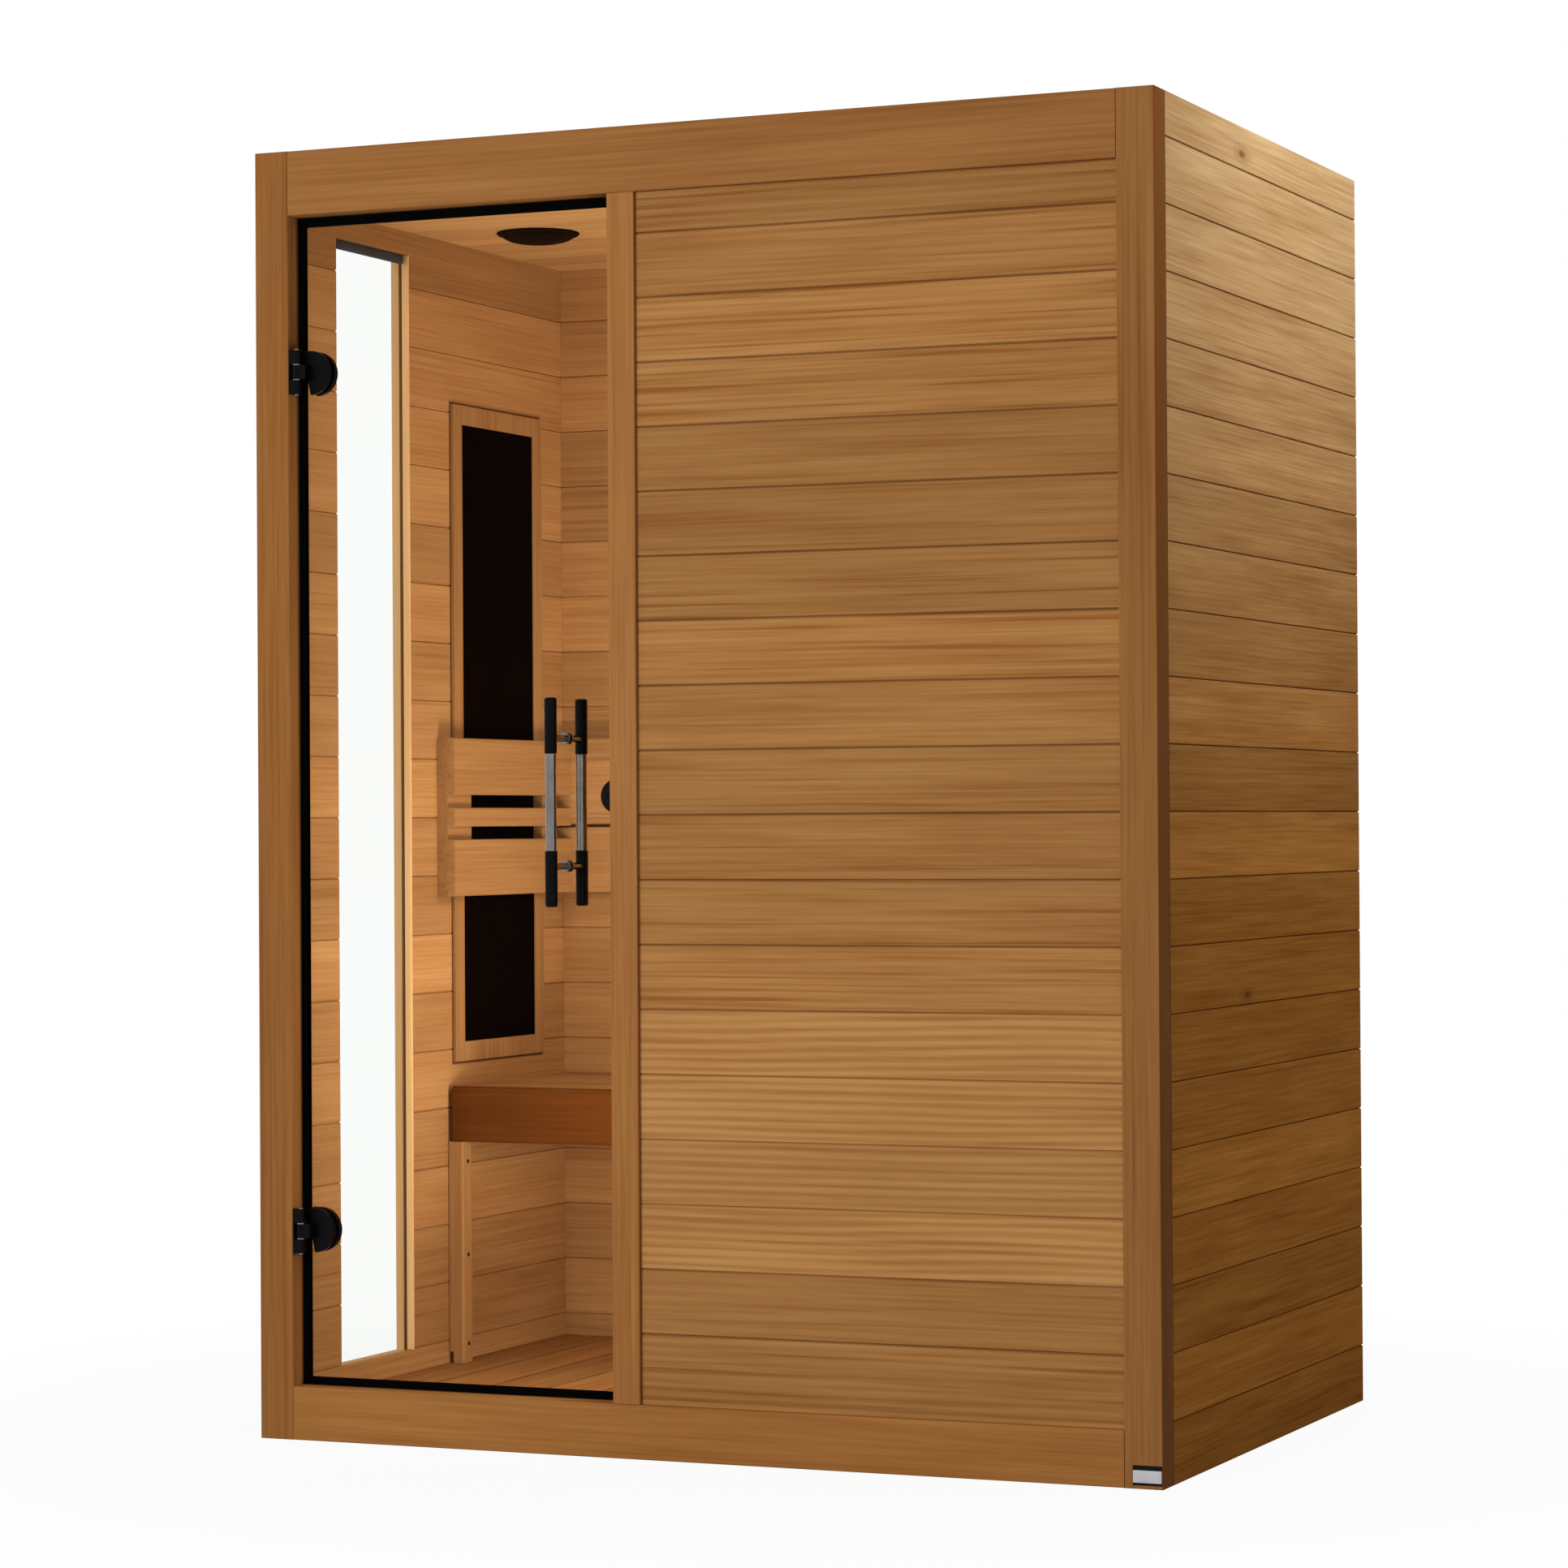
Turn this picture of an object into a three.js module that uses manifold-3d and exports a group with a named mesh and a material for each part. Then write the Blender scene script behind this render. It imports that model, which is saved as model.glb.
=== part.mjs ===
import * as THREE from "three";
import { mergeVertices } from "three/addons/utils/BufferGeometryUtils.js";
import Module from "manifold-3d";

// Infrared sauna cabin with a glass door, in millimetres.
// X runs to the right, Y to the back and Z up; the origin lies on the ground under the cabin's middle.

// Straight sides that stand for a full turn, on large and on small round pieces
const roundSteps = 22;
const smallRoundSteps = 18;

// Cabin shell
const cabinWidth = 1400;
const cabinDepth = 980;
const cabinHeight = 1900;
const wallThickness = 35;
const frontThickness = 48;
const floorThickness = 51;
const ceilingDrop = 68;
const ceilingThickness = 12;
const battenHeight = 30;
const battenWidth = 40;
const battenSetback = 15;
const middleBattenSetback = 325;
const roofThickness = 8;

// Gaps between pieces that rest on one another, and between pieces that slide
const seatGap = 0.3;
const slideGap = 0.5;

// Tongue-and-groove boards
const boardPitch = 92.2;
const firstJointHeight = 86.3;
const floorBoardPitch = 95;
const seatBoardPitch = 84;
const jointWidth = 3.2;
const jointDepth = 2.4;
const narrowestBoardWidth = 25;
const easedEdgeRadius = 2;

// Front frame
const postWidth = 55;
const headerHeight = 95;
const railHeight = 78;
const stileWidth = 43;
const doorwayWidth = 522;
const infillRecess = 7;
const infillThickness = 38;

// Floor seam that crosses the boards
const floorSeamSetback = 450;
const floorSeamWidth = 2;

// Window in the left wall
const windowSetback = 182;
const windowWidth = 232;
const windowSillHeight = 84;
const windowHeadHeight = 103;
const windowReveal = 13;
const windowRebate = 12;
const paneThickness = 6;
const beadRelief = 2;

// Door glass and its edge seal
const glassThickness = 8;
const glassSetback = 32;
const doorHingeGap = 0.6;
const doorLatchGap = 3;
const doorTopGap = 1.5;
const doorFootGap = 1;
const sealSideWidth = 10;
const sealTopWidth = 12.5;
const sealFootWidth = 10.5;
const sealWebThickness = 3.5;
const sealWallThickness = 1.5;

// Hinges
const upperHingeDrop = 231.5;
const lowerHingeRise = 229;
const hingeHeight = 65;
const hingeSetback = 8;
const knuckleRadius = 7;
const pinRadius = 3;
const pinClearance = 0.15;
const pinHeadRadius = 4.5;
const pinHeadHeight = 1.5;
const washerThickness = 1.8;
const leafThickness = 2.5;
const leafSetback = 1.5;
const leafSealGap = 3;
const clampLength = 47;
const clampThickness = 9.7;
const clampBevelSize = 1.5;
const clampArmWidth = 16;
const clampBossRadius = 7;
const clampBossClearance = 1;

// Door handles
const handleHingeDistance = 426;
const handleHeight = 935.5;
const handleLength = 300;
const handleStandoff = 46;
const barRadius = 9;
const barWaistRadius = 6;
const barEndRadius = 2;
const sleeveLength = 139;
const sleeveRadius = 8;
const studSpacing = 184;
const studRadius = 5;
const studFlangeRadius = 8.5;
const studFlangeThickness = 4;
const studHoleClearance = 1.5;

// Catch behind the free edge of the door
const catchHeight = 944;
const catchRadius = 25;
const catchThickness = 8;
const catchStileDistance = 13;
const magnetRadius = 8;
const magnetSealGap = 3;

// Heater panels and their frames
const heaterFrameWidth = 313;
const heaterFrameHeight = 1048;
const heaterFrameBorder = 31;
const heaterFrameThickness = 5;
const heaterPanelThickness = 3;
const heaterAboveSeat = 38;
const sideHeaterSetback = 240;
const backHeaterSetback = 335;

// Guards over the heaters
const guardAboveSeat = 302;
const guardWideSlatHeight = 90;
const guardNarrowSlatHeight = 30;
const guardSlotHeight = 20.3;
const guardSlatThickness = 13;
const guardSpacerDepth = 18;
const guardSpacerWidth = 40;
const guardFarSpacerWidth = 20;
const guardNearSpacerGap = 10.5;
const guardFarSpacerGap = 4;
const backGuardLowSlatHeight = 108;
const backGuardTopSlatHeight = 143;
const backGuardSlotHeight = 5;
const slatEdgeRadius = 2.5;

// Bench
const seatHeight = 489;
const seatThickness = 24;
const seatDepth = 417;
const apronNosingRadius = 4;
const apronHeight = 87;
const apronThickness = 20;
const apronEndGap = 8;
const cleatWidth = 26;
const cleatDepth = 32;
const cleatToeDepth = 8;
const cleatToeHeight = 18;
const ledgerDepth = 25;
const ledgerHeight = 40;

// Loudspeakers and lamp in the ceiling
const speakerX = 487;
const speakerSetback = 435;
const speakerRadius = 65;
const speakerRimThickness = 4;
const speakerRimWidth = 8;
const speakerDropHeight = 18;
const speakerBasketRadius = 46;
const speakerRoofGap = 8;
const lampRadius = 52;
const lampRimThickness = 6;
const lampRimWidth = 10;
const lampDropHeight = 15;
const lampStemRadius = 18;
const lampStemHeight = 24;

// Ceiling vent
const ventWallGap = 40;
const ventSpeakerGap = 68.5;
const ventRadius = 45;
const ventShutterSize = 120;
const ventShutterThickness = 8;
const ventTravel = 115;
const ventStopLength = 4;
const ventRailWidth = 16;
const ventLipWidth = 10;
const ventLipThickness = 5;
const ventKnobRadius = 11;
const ventKnobNeckRadius = 6.6;
const ventKnobHeight = 14;

// Control panel beside the door, on the inner face of the front
const controlStileDistance = 140;
const controlZ = 1300;
const controlDepth = 16;
const controlCornerRadius = 12;
const controlBevelSize = 2;
const controlFaceThickness = 4;
const controlWallThickness = 4;
const displayWidth = 92;
const displayHeight = 48;
const displaySideBorder = 8;
const displayTopBorder = 28;
const displayFlangeWidth = 4;
const displayThickness = 5;
const displayFlangeLap = 0.6;
const displayFaceRecess = 1.2;
const keyRadius = 7;
const keyClearance = 0.4;
const keyFlangeWidth = 2;
const keyFlangeThickness = 2.5;
const keyProudHeight = 1.8;
const keyStemLength = 3;
const keyBorder = 24;
const keyColumnPitch = 32;
const keyRowPitch = 40;
const keyNames = ["key_power", "key_lamp", "key_warmer", "key_cooler"];

// Power box over the ceiling and the gland on the roof
const powerBoxWidth = 320;
const powerBoxBattenGap = 25;
const powerBoxRoofGap = 2;
const powerBoxX = -200;
const powerBoxCornerRadius = 10;
const glandRadius = 16;
const glandNutHeight = 6;
const glandDomeRadius = 12;
const glandHeight = 16;
const glandStemRadius = 8;
const glandBoreRadius = 5;

// Places worked out from the sizes above
const sideX = cabinWidth / 2;
const frontY = -cabinDepth / 2;
const backY = cabinDepth / 2;
const innerX = sideX - wallThickness;
const innerFrontY = frontY + frontThickness;
const innerBackY = backY - wallThickness;
const postInnerX = sideX - postWidth;
const stileLeftX = -postInnerX + doorwayWidth;
const stileRightX = stileLeftX + stileWidth;
const headerUnderside = cabinHeight - headerHeight;
const ceilingUnderside = cabinHeight - ceilingDrop;
const infillBackY = frontY + infillRecess + infillThickness;
const ceilingTop = ceilingUnderside + ceilingThickness;
const roofUnderside = ceilingTop + battenHeight + seatGap;
const roofTop = roofUnderside + roofThickness;
const hingeStandoff = leafThickness + slideGap + knuckleRadius;
const hingeX = -postInnerX + hingeStandoff;
const hingeY = frontY + hingeSetback;
const hingeHeights = { upper: headerUnderside - upperHingeDrop, lower: railHeight + lowerHingeRise };
const seatFrontY = innerBackY - seatDepth;
const sideHeaterY = innerBackY - sideHeaterSetback;
const backHeaterX = innerX - backHeaterSetback;
const middleBattenY = innerBackY - middleBattenSetback;
const speakerY = innerBackY - speakerSetback;
const ventFrameDepth = ventShutterSize + 2 * (slideGap + ventRailWidth);
const ventY = speakerY - speakerRadius - ventSpeakerGap - ventFrameDepth / 2;
const guardDepth = guardSpacerDepth + guardSlatThickness;
const guardBase = seatHeight + guardAboveSeat;
const heaterBase = seatHeight + heaterAboveSeat;
const sideHeaterSpan = [sideHeaterY - heaterFrameWidth / 2, sideHeaterY + heaterFrameWidth / 2];
const guardFrontY = sideHeaterSpan[0] - guardNearSpacerGap - guardSpacerWidth;
const ventX = innerX - ventWallGap - ventRailWidth - ventStopLength - ventTravel - ventShutterSize / 2;
const ceilingFrontY = innerFrontY + seatGap;
const ceilingBackY = innerBackY - seatGap;
const backBattenY = ceilingBackY - battenSetback - battenWidth / 2;
const powerBoxY = (middleBattenY + backBattenY) / 2;
const powerBoxDepth = backBattenY - middleBattenY - battenWidth - 2 * powerBoxBattenGap;
const powerBoxHeight = battenHeight - powerBoxRoofGap;

const RIGHT = new THREE.Vector3(1, 0, 0);
const LEFT = new THREE.Vector3(-1, 0, 0);
const BACK = new THREE.Vector3(0, 1, 0);
const FRONT = new THREE.Vector3(0, -1, 0);
const UP = new THREE.Vector3(0, 0, 1);
const DOWN = new THREE.Vector3(0, 0, -1);

const wood = { color: 0xb07a45, roughness: 0.6, metalness: 0 };
const innerWood = { color: 0xb87a44, roughness: 0.6, metalness: 0 };
const frameWood = { color: 0xa86f3e, roughness: 0.6, metalness: 0 };
const blackPanel = { color: 0x0c0806, roughness: 0.55, metalness: 0 };
const blackMetal = { color: 0x0d0d0f, roughness: 0.35, metalness: 0.6 };
const blackRubber = { color: 0x0a0a0a, roughness: 0.8, metalness: 0 };
const blackPlastic = { color: 0x121212, roughness: 0.5, metalness: 0 };
const chrome = { color: 0xc9ccd0, roughness: 0.15, metalness: 1 };
const clearGlass = { color: 0xdde8e6, roughness: 0.03, metalness: 0, transparent: true, opacity: 0.25 };
const whitePlastic = { color: 0xe8e6e0, roughness: 0.4, metalness: 0 };
const greySteel = { color: 0x8b8f93, roughness: 0.45, metalness: 0.8 };

const wasm = await Module();
wasm.setup();

// A closed geometry as a solid that can be joined and cut.
function solidOf(geometry) {
  const bare = geometry.index ? geometry.toNonIndexed() : geometry.clone();
  bare.deleteAttribute("normal");
  bare.deleteAttribute("uv");
  const merged = mergeVertices(bare, 1e-4);
  const vertProperties = merged.attributes.position.array;
  const triVerts = new Uint32Array(merged.index.array);
  return new wasm.Manifold(new wasm.Mesh({ numProp: 3, vertProperties, triVerts }));
}

function geometryOf(solid) {
  const { vertProperties, triVerts } = solid.getMesh();
  const geometry = new THREE.BufferGeometry();
  geometry.setAttribute("position", new THREE.BufferAttribute(new Float32Array(vertProperties), 3));
  geometry.setIndex(new THREE.BufferAttribute(new Uint32Array(triVerts), 1));
  const faceted = geometry.toNonIndexed();
  faceted.computeVertexNormals();
  return faceted;
}

function joined(...geometries) {
  return geometryOf(geometries.map(solidOf).reduce((whole, piece) => whole.add(piece)));
}

function cut(geometry, ...tools) {
  return geometryOf(tools.map(solidOf).reduce((rest, tool) => rest.subtract(tool), solidOf(geometry)));
}

function add(group, name, geometry, finish) {
  const mesh = new THREE.Mesh(geometry, new THREE.MeshStandardMaterial(finish));
  mesh.name = name;
  group.add(mesh);
  return mesh;
}

// Turns a geometry so that its own x and y lie along two given directions, and moves it to a place.
function lay(geometry, xAxis, yAxis, origin) {
  const zAxis = new THREE.Vector3().crossVectors(xAxis, yAxis);
  const place = new THREE.Matrix4().makeBasis(xAxis, yAxis, zAxis).setPosition(...origin);
  return geometry.applyMatrix4(place);
}

// A group whose own x and y lie along two given directions.
function facing(xAxis, yAxis, origin) {
  const group = new THREE.Group();
  const zAxis = new THREE.Vector3().crossVectors(xAxis, yAxis);
  group.quaternion.setFromRotationMatrix(new THREE.Matrix4().makeBasis(xAxis, yAxis, zAxis));
  group.position.set(...origin);
  return group;
}

function block([x0, x1], [y0, y1], [z0, z1]) {
  const geometry = new THREE.BoxGeometry(x1 - x0, y1 - y0, z1 - z0);
  return geometry.translate((x0 + x1) / 2, (y0 + y1) / 2, (z0 + z1) / 2);
}

function rectangle([x0, x1], [y0, y1], path = new THREE.Shape()) {
  path.moveTo(x0, y0);
  path.lineTo(x1, y0);
  path.lineTo(x1, y1);
  path.lineTo(x0, y1);
  path.closePath();
  return path;
}

function roundedRectangle([x0, x1], [y0, y1], radius) {
  const shape = new THREE.Shape();
  shape.absarc(x1 - radius, y0 + radius, radius, -Math.PI / 2, 0);
  shape.absarc(x1 - radius, y1 - radius, radius, 0, Math.PI / 2);
  shape.absarc(x0 + radius, y1 - radius, radius, Math.PI / 2, Math.PI);
  shape.absarc(x0 + radius, y0 + radius, radius, Math.PI, Math.PI * 1.5);
  shape.closePath();
  return shape;
}

function circle(x, y, radius) {
  return new THREE.Path().absarc(x, y, radius, 0, Math.PI * 2);
}

function extruded(shape, depth, curveSegments = 4) {
  return new THREE.ExtrudeGeometry(shape, { depth, bevelEnabled: false, curveSegments });
}

// An extrusion whose two ends are bevelled inside its outline.
function bevelled(shape, depth, bevel, curveSegments = 4) {
  return new THREE.ExtrudeGeometry(shape, {
    depth: depth - 2 * bevel,
    bevelEnabled: true,
    bevelThickness: bevel,
    bevelSize: bevel,
    bevelOffset: -bevel,
    bevelSegments: 1,
    curveSegments,
  }).translate(0, 0, bevel);
}

// A turned piece about its own y: the profile is a list of radius and height, from foot to top.
function turned(profile, steps = roundSteps) {
  return new THREE.LatheGeometry(
    profile.map(([radius, height]) => new THREE.Vector2(radius, height)),
    steps,
  );
}

function turnedUp(profile, steps = roundSteps) {
  return turned(profile, steps).rotateX(Math.PI / 2);
}

function rod(radius, [from, to]) {
  return [[0, from], [radius, from], [radius, to], [0, to]];
}

// A straight timber with eased long edges, along one of the three axes.
function timber(xs, ys, zs, along, rounding = easedEdgeRadius) {
  const half = ([from, to]) => [-(to - from) / 2, (to - from) / 2];
  const middle = ([from, to]) => (from + to) / 2;
  if (along === "x") {
    const bar = extruded(roundedRectangle(half(ys), half(zs), rounding), xs[1] - xs[0], 2);
    return lay(bar, BACK, UP, [xs[0], middle(ys), middle(zs)]);
  }
  if (along === "y") {
    const bar = extruded(roundedRectangle(half(zs), half(xs), rounding), ys[1] - ys[0], 2);
    return lay(bar, UP, RIGHT, [middle(xs), ys[0], middle(zs)]);
  }
  const bar = extruded(roundedRectangle(half(xs), half(ys), rounding), zs[1] - zs[0], 2);
  return lay(bar, RIGHT, BACK, [middle(xs), middle(ys), zs[0]]);
}

// Heights of the board joints that leave a board of some width at either end.
function jointsBetween(low, high, first, pitch) {
  const joints = [];
  for (let joint = first; joint < high - narrowestBoardWidth; joint += pitch) {
    if (joint > low + narrowestBoardWidth) joints.push(joint);
  }
  return joints;
}

function vee(shape, face, inward, joint, step) {
  shape.lineTo(face, joint - (step * jointWidth) / 2);
  shape.lineTo(face + inward * jointDepth, joint);
  shape.lineTo(face, joint + (step * jointWidth) / 2);
}

// A boarded panel: its section has a V at each joint of the near face, the far face or both.
function boarded(thickness, low, high, length, joints, faces = "both") {
  const section = new THREE.Shape();
  section.moveTo(thickness, low);
  if (faces !== "near") joints.forEach((joint) => vee(section, thickness, -1, joint, 1));
  section.lineTo(thickness, high);
  section.lineTo(0, high);
  if (faces !== "far") joints.toReversed().forEach((joint) => vee(section, 0, 1, joint, -1));
  section.lineTo(0, low);
  section.closePath();
  return extruded(section, length);
}

function makeFrontFrame(cabin) {
  const depth = [frontY, innerFrontY];
  const between = [-postInnerX + seatGap, postInnerX - seatGap];
  const height = [railHeight + seatGap, headerUnderside - seatGap];
  add(cabin, "front_post_left", timber([-sideX, -postInnerX], depth, [0, cabinHeight], "z"), frameWood);
  add(cabin, "front_post_right", timber([postInnerX, sideX], depth, [0, cabinHeight], "z"), frameWood);
  add(cabin, "front_header", timber(between, depth, [headerUnderside, cabinHeight], "x"), frameWood);
  add(cabin, "front_sill_rail", timber(between, depth, [0, railHeight], "x"), frameWood);
  add(cabin, "door_stile", timber([stileLeftX, stileRightX], depth, height, "z"), frameWood);
  const joints = jointsBetween(...height, firstJointHeight, boardPitch);
  const length = postInnerX - stileRightX - 2 * seatGap;
  const infill = boarded(infillThickness, ...height, length, joints);
  add(cabin, "front_infill", lay(infill, FRONT, UP, [postInnerX - seatGap, infillBackY, 0]), wood);
}

function makeWalls(cabin) {
  const joints = jointsBetween(0, cabinHeight, firstJointHeight, boardPitch);
  const sideLength = backY - innerFrontY - seatGap;
  const right = boarded(wallThickness, 0, cabinHeight, sideLength, joints);
  add(cabin, "right_wall", lay(right, RIGHT, UP, [innerX, backY, 0]), wood);
  const backLength = 2 * (innerX - seatGap);
  const back = boarded(wallThickness, 0, cabinHeight, backLength, joints);
  add(cabin, "back_wall", lay(back, BACK, UP, [-innerX + seatGap, innerBackY, 0]), wood);

  const left = boarded(wallThickness, 0, cabinHeight, sideLength, joints);
  lay(left, LEFT, UP, [-innerX, innerFrontY + seatGap, 0]);
  const ys = [frontY + windowSetback, frontY + windowSetback + windowWidth];
  const zs = [windowSillHeight, cabinHeight - windowHeadHeight];
  const grown = ([from, to], by) => [from - by, to + by];
  const shoulderX = -innerX - windowReveal;
  const beyond = wallThickness;
  const opening = block([-sideX - beyond, -innerX + beyond], ys, zs);
  const rebate = block([-sideX - beyond, shoulderX], grown(ys, windowRebate), grown(zs, windowRebate));
  add(cabin, "left_wall", cut(left, opening, rebate), wood);

  const fit = windowRebate - seatGap;
  const paneX = shoulderX - seatGap;
  const paneOutline = rectangle(grown(ys, fit), grown(zs, fit));
  const pane = extruded(paneOutline, paneThickness);
  add(cabin, "window_pane", lay(pane, BACK, UP, [paneX - paneThickness, 0, 0]), clearGlass);
  const beadOutline = rectangle(grown(ys, fit), grown(zs, fit));
  beadOutline.holes.push(rectangle(ys, zs, new THREE.Path()));
  const beadThickness = wallThickness - windowReveal - paneThickness - 2 * seatGap - beadRelief;
  const bead = extruded(beadOutline, beadThickness);
  add(cabin, "window_bead", lay(bead, BACK, UP, [-sideX + beadRelief, 0, 0]), frameWood);
}

function makeFloor(cabin) {
  const half = innerX - seatGap;
  const length = innerBackY - innerFrontY - 2 * seatGap;
  const firstJoint = -Math.floor(half / floorBoardPitch) * floorBoardPitch;
  const joints = jointsBetween(-half, half, firstJoint, floorBoardPitch);
  const boards = boarded(floorThickness, -half, half, length, joints, "far");
  lay(boards, UP, RIGHT, [0, innerFrontY + seatGap, 0]);
  const seamY = frontY + floorSeamSetback;
  const seam = block(
    [-sideX, sideX],
    [seamY - floorSeamWidth / 2, seamY + floorSeamWidth / 2],
    [floorThickness - jointDepth, floorThickness + jointDepth],
  );
  add(cabin, "floor_panel", cut(boards, seam), innerWood);
}

function makeCeiling(cabin) {
  const half = innerX - seatGap;
  const ys = [ceilingFrontY, ceilingBackY];
  const joints = jointsBetween(...ys, ceilingFrontY + boardPitch, boardPitch);
  const panel = boarded(ceilingThickness, ...ys, 2 * half, joints, "far");
  lay(panel, DOWN, BACK, [-half, 0, ceilingTop]);
  const frontBattenY = ceilingFrontY + battenSetback + battenWidth / 2;
  const battenZ = [ceilingTop - seatGap, ceilingTop + battenHeight];
  const battens = [frontBattenY, middleBattenY, backBattenY].map((y) =>
    block([-half, half], [y - battenWidth / 2, y + battenWidth / 2], battenZ),
  );
  const through = (radius, x, y) => {
    const drill = turnedUp(rod(radius + slideGap, [-ceilingThickness, 2 * ceilingThickness]));
    return drill.translate(x, y, ceilingUnderside);
  };
  const holes = [
    through(speakerBasketRadius, -speakerX, speakerY),
    through(speakerBasketRadius, speakerX, speakerY),
    through(lampStemRadius, 0, 0),
    through(ventRadius, ventX, ventY),
  ];
  add(cabin, "ceiling_panel", cut(joined(panel, ...battens), ...holes), innerWood);

  const roof = roundedRectangle([-half, half], ys, easedEdgeRadius);
  roof.holes.push(circle(ventX, ventY, ventRadius), circle(powerBoxX, powerBoxY, glandStemRadius + slideGap));
  add(cabin, "roof_board", extruded(roof, roofThickness, 8).translate(0, 0, roofUnderside), wood);

  const boxShape = roundedRectangle(
    [-powerBoxWidth / 2, powerBoxWidth / 2],
    [-powerBoxDepth / 2, powerBoxDepth / 2],
    powerBoxCornerRadius,
  );
  const box = add(cabin, "power_box", bevelled(boxShape, powerBoxHeight, easedEdgeRadius), greySteel);
  box.position.set(powerBoxX, powerBoxY, ceilingTop + seatGap);

  const boxTop = ceilingTop + seatGap + powerBoxHeight;
  const stemFoot = boxTop + seatGap - roofTop;
  const dome = turnedUp([
    [glandBoreRadius, stemFoot],
    [glandStemRadius, stemFoot],
    [glandStemRadius, glandNutHeight / 2],
    [glandDomeRadius, glandNutHeight / 2],
    [glandDomeRadius, glandHeight - easedEdgeRadius],
    [glandDomeRadius - easedEdgeRadius, glandHeight],
    [glandBoreRadius, glandHeight],
    [glandBoreRadius, stemFoot],
  ], smallRoundSteps);
  const nutSides = 6;
  const nut = turnedUp(
    [
      [glandBoreRadius, seatGap],
      [glandRadius, seatGap],
      [glandRadius, glandNutHeight],
      [glandBoreRadius, glandNutHeight],
      [glandBoreRadius, seatGap],
    ],
    nutSides,
  );
  const bore = turnedUp(rod(glandBoreRadius, [stemFoot - glandHeight, glandHeight * 2]), smallRoundSteps);
  const gland = add(cabin, "cable_gland", cut(joined(dome, nut), bore), blackPlastic);
  gland.position.set(powerBoxX, powerBoxY, roofTop);
}

// A loudspeaker: a domed grille with a rim under the ceiling, and its basket above.
function makeSpeaker(cabin, name, x) {
  const domeSteps = 5;
  const domeRadius = speakerRadius - speakerRimWidth;
  const basketHeight = ceilingThickness + battenHeight - speakerRoofGap;
  const dome = Array.from({ length: domeSteps + 1 }, (_, step) => {
    const angle = (step / domeSteps) * (Math.PI / 2);
    const height = -speakerDropHeight + (speakerDropHeight - speakerRimThickness) * (1 - Math.cos(angle));
    return [domeRadius * Math.sin(angle), height];
  });
  const speaker = turnedUp([
    ...dome,
    [speakerRadius - speakerRimThickness / 2, -speakerRimThickness],
    [speakerRadius, -speakerRimThickness / 2],
    [speakerRadius, -seatGap],
    [speakerBasketRadius, -seatGap],
    [speakerBasketRadius, basketHeight / 2],
    [speakerBasketRadius / 2, basketHeight],
    [0, basketHeight],
  ]);
  add(cabin, name, speaker, blackMetal).position.set(x, speakerY, ceilingUnderside);
}

function makeLamp(cabin) {
  const lensRadius = lampRadius - lampRimWidth;
  const lamp = turnedUp([
    [0, -lampDropHeight],
    [lensRadius / 2, -lampDropHeight + easedEdgeRadius / 2],
    [lensRadius, -lampRimThickness - easedEdgeRadius],
    [lensRadius, -lampRimThickness],
    [lampRadius - easedEdgeRadius, -lampRimThickness],
    [lampRadius, -lampRimThickness + easedEdgeRadius],
    [lampRadius, -seatGap],
    [lampStemRadius, -seatGap],
    [lampStemRadius, lampStemHeight],
    [0, lampStemHeight],
  ]);
  add(cabin, "ceiling_lamp", lamp, whitePlastic).position.set(0, 0, ceilingUnderside);
}

// The vent: a frame with two lipped rails under the ceiling, and a shutter that slides along them.
function makeVent(cabin) {
  const vent = new THREE.Group();
  vent.position.set(ventX, ventY, ceilingUnderside);
  cabin.add(vent);
  const half = ventShutterSize / 2;
  const channelX = [-half - ventStopLength, half + ventTravel + ventStopLength];
  const channelY = [-half - slideGap, half + slideGap];
  const lipTop = -seatGap - slideGap - ventShutterThickness - slideGap;
  const foot = lipTop - ventLipThickness;
  const beyond = ventLipThickness;
  const body = block(
    [channelX[0] - ventRailWidth, channelX[1] + ventRailWidth],
    [channelY[0] - ventRailWidth, channelY[1] + ventRailWidth],
    [foot, -seatGap],
  );
  const channel = block(channelX, channelY, [lipTop, beyond]);
  const mouthY = half - ventLipWidth;
  const mouth = block(channelX, [-mouthY, mouthY], [foot - beyond, beyond]);
  add(vent, "vent_frame", cut(body, channel, mouth), innerWood);

  const shutterTop = -seatGap - slideGap;
  const shutterFoot = shutterTop - ventShutterThickness;
  const plateShape = roundedRectangle([-half, half], [-half, half], easedEdgeRadius);
  const plate = extruded(plateShape, ventShutterThickness, 2).translate(0, 0, shutterFoot);
  const knob = turnedUp([
    [0, shutterFoot - ventKnobHeight],
    [ventKnobRadius - easedEdgeRadius, shutterFoot - ventKnobHeight],
    [ventKnobRadius, shutterFoot - ventKnobHeight + easedEdgeRadius],
    [ventKnobNeckRadius, shutterFoot],
    [ventKnobNeckRadius, shutterTop - easedEdgeRadius],
    [0, shutterTop - easedEdgeRadius],
  ]);
  add(vent, "vent_shutter", joined(plate, knob), innerWood).position.x = ventTravel;
}

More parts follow.
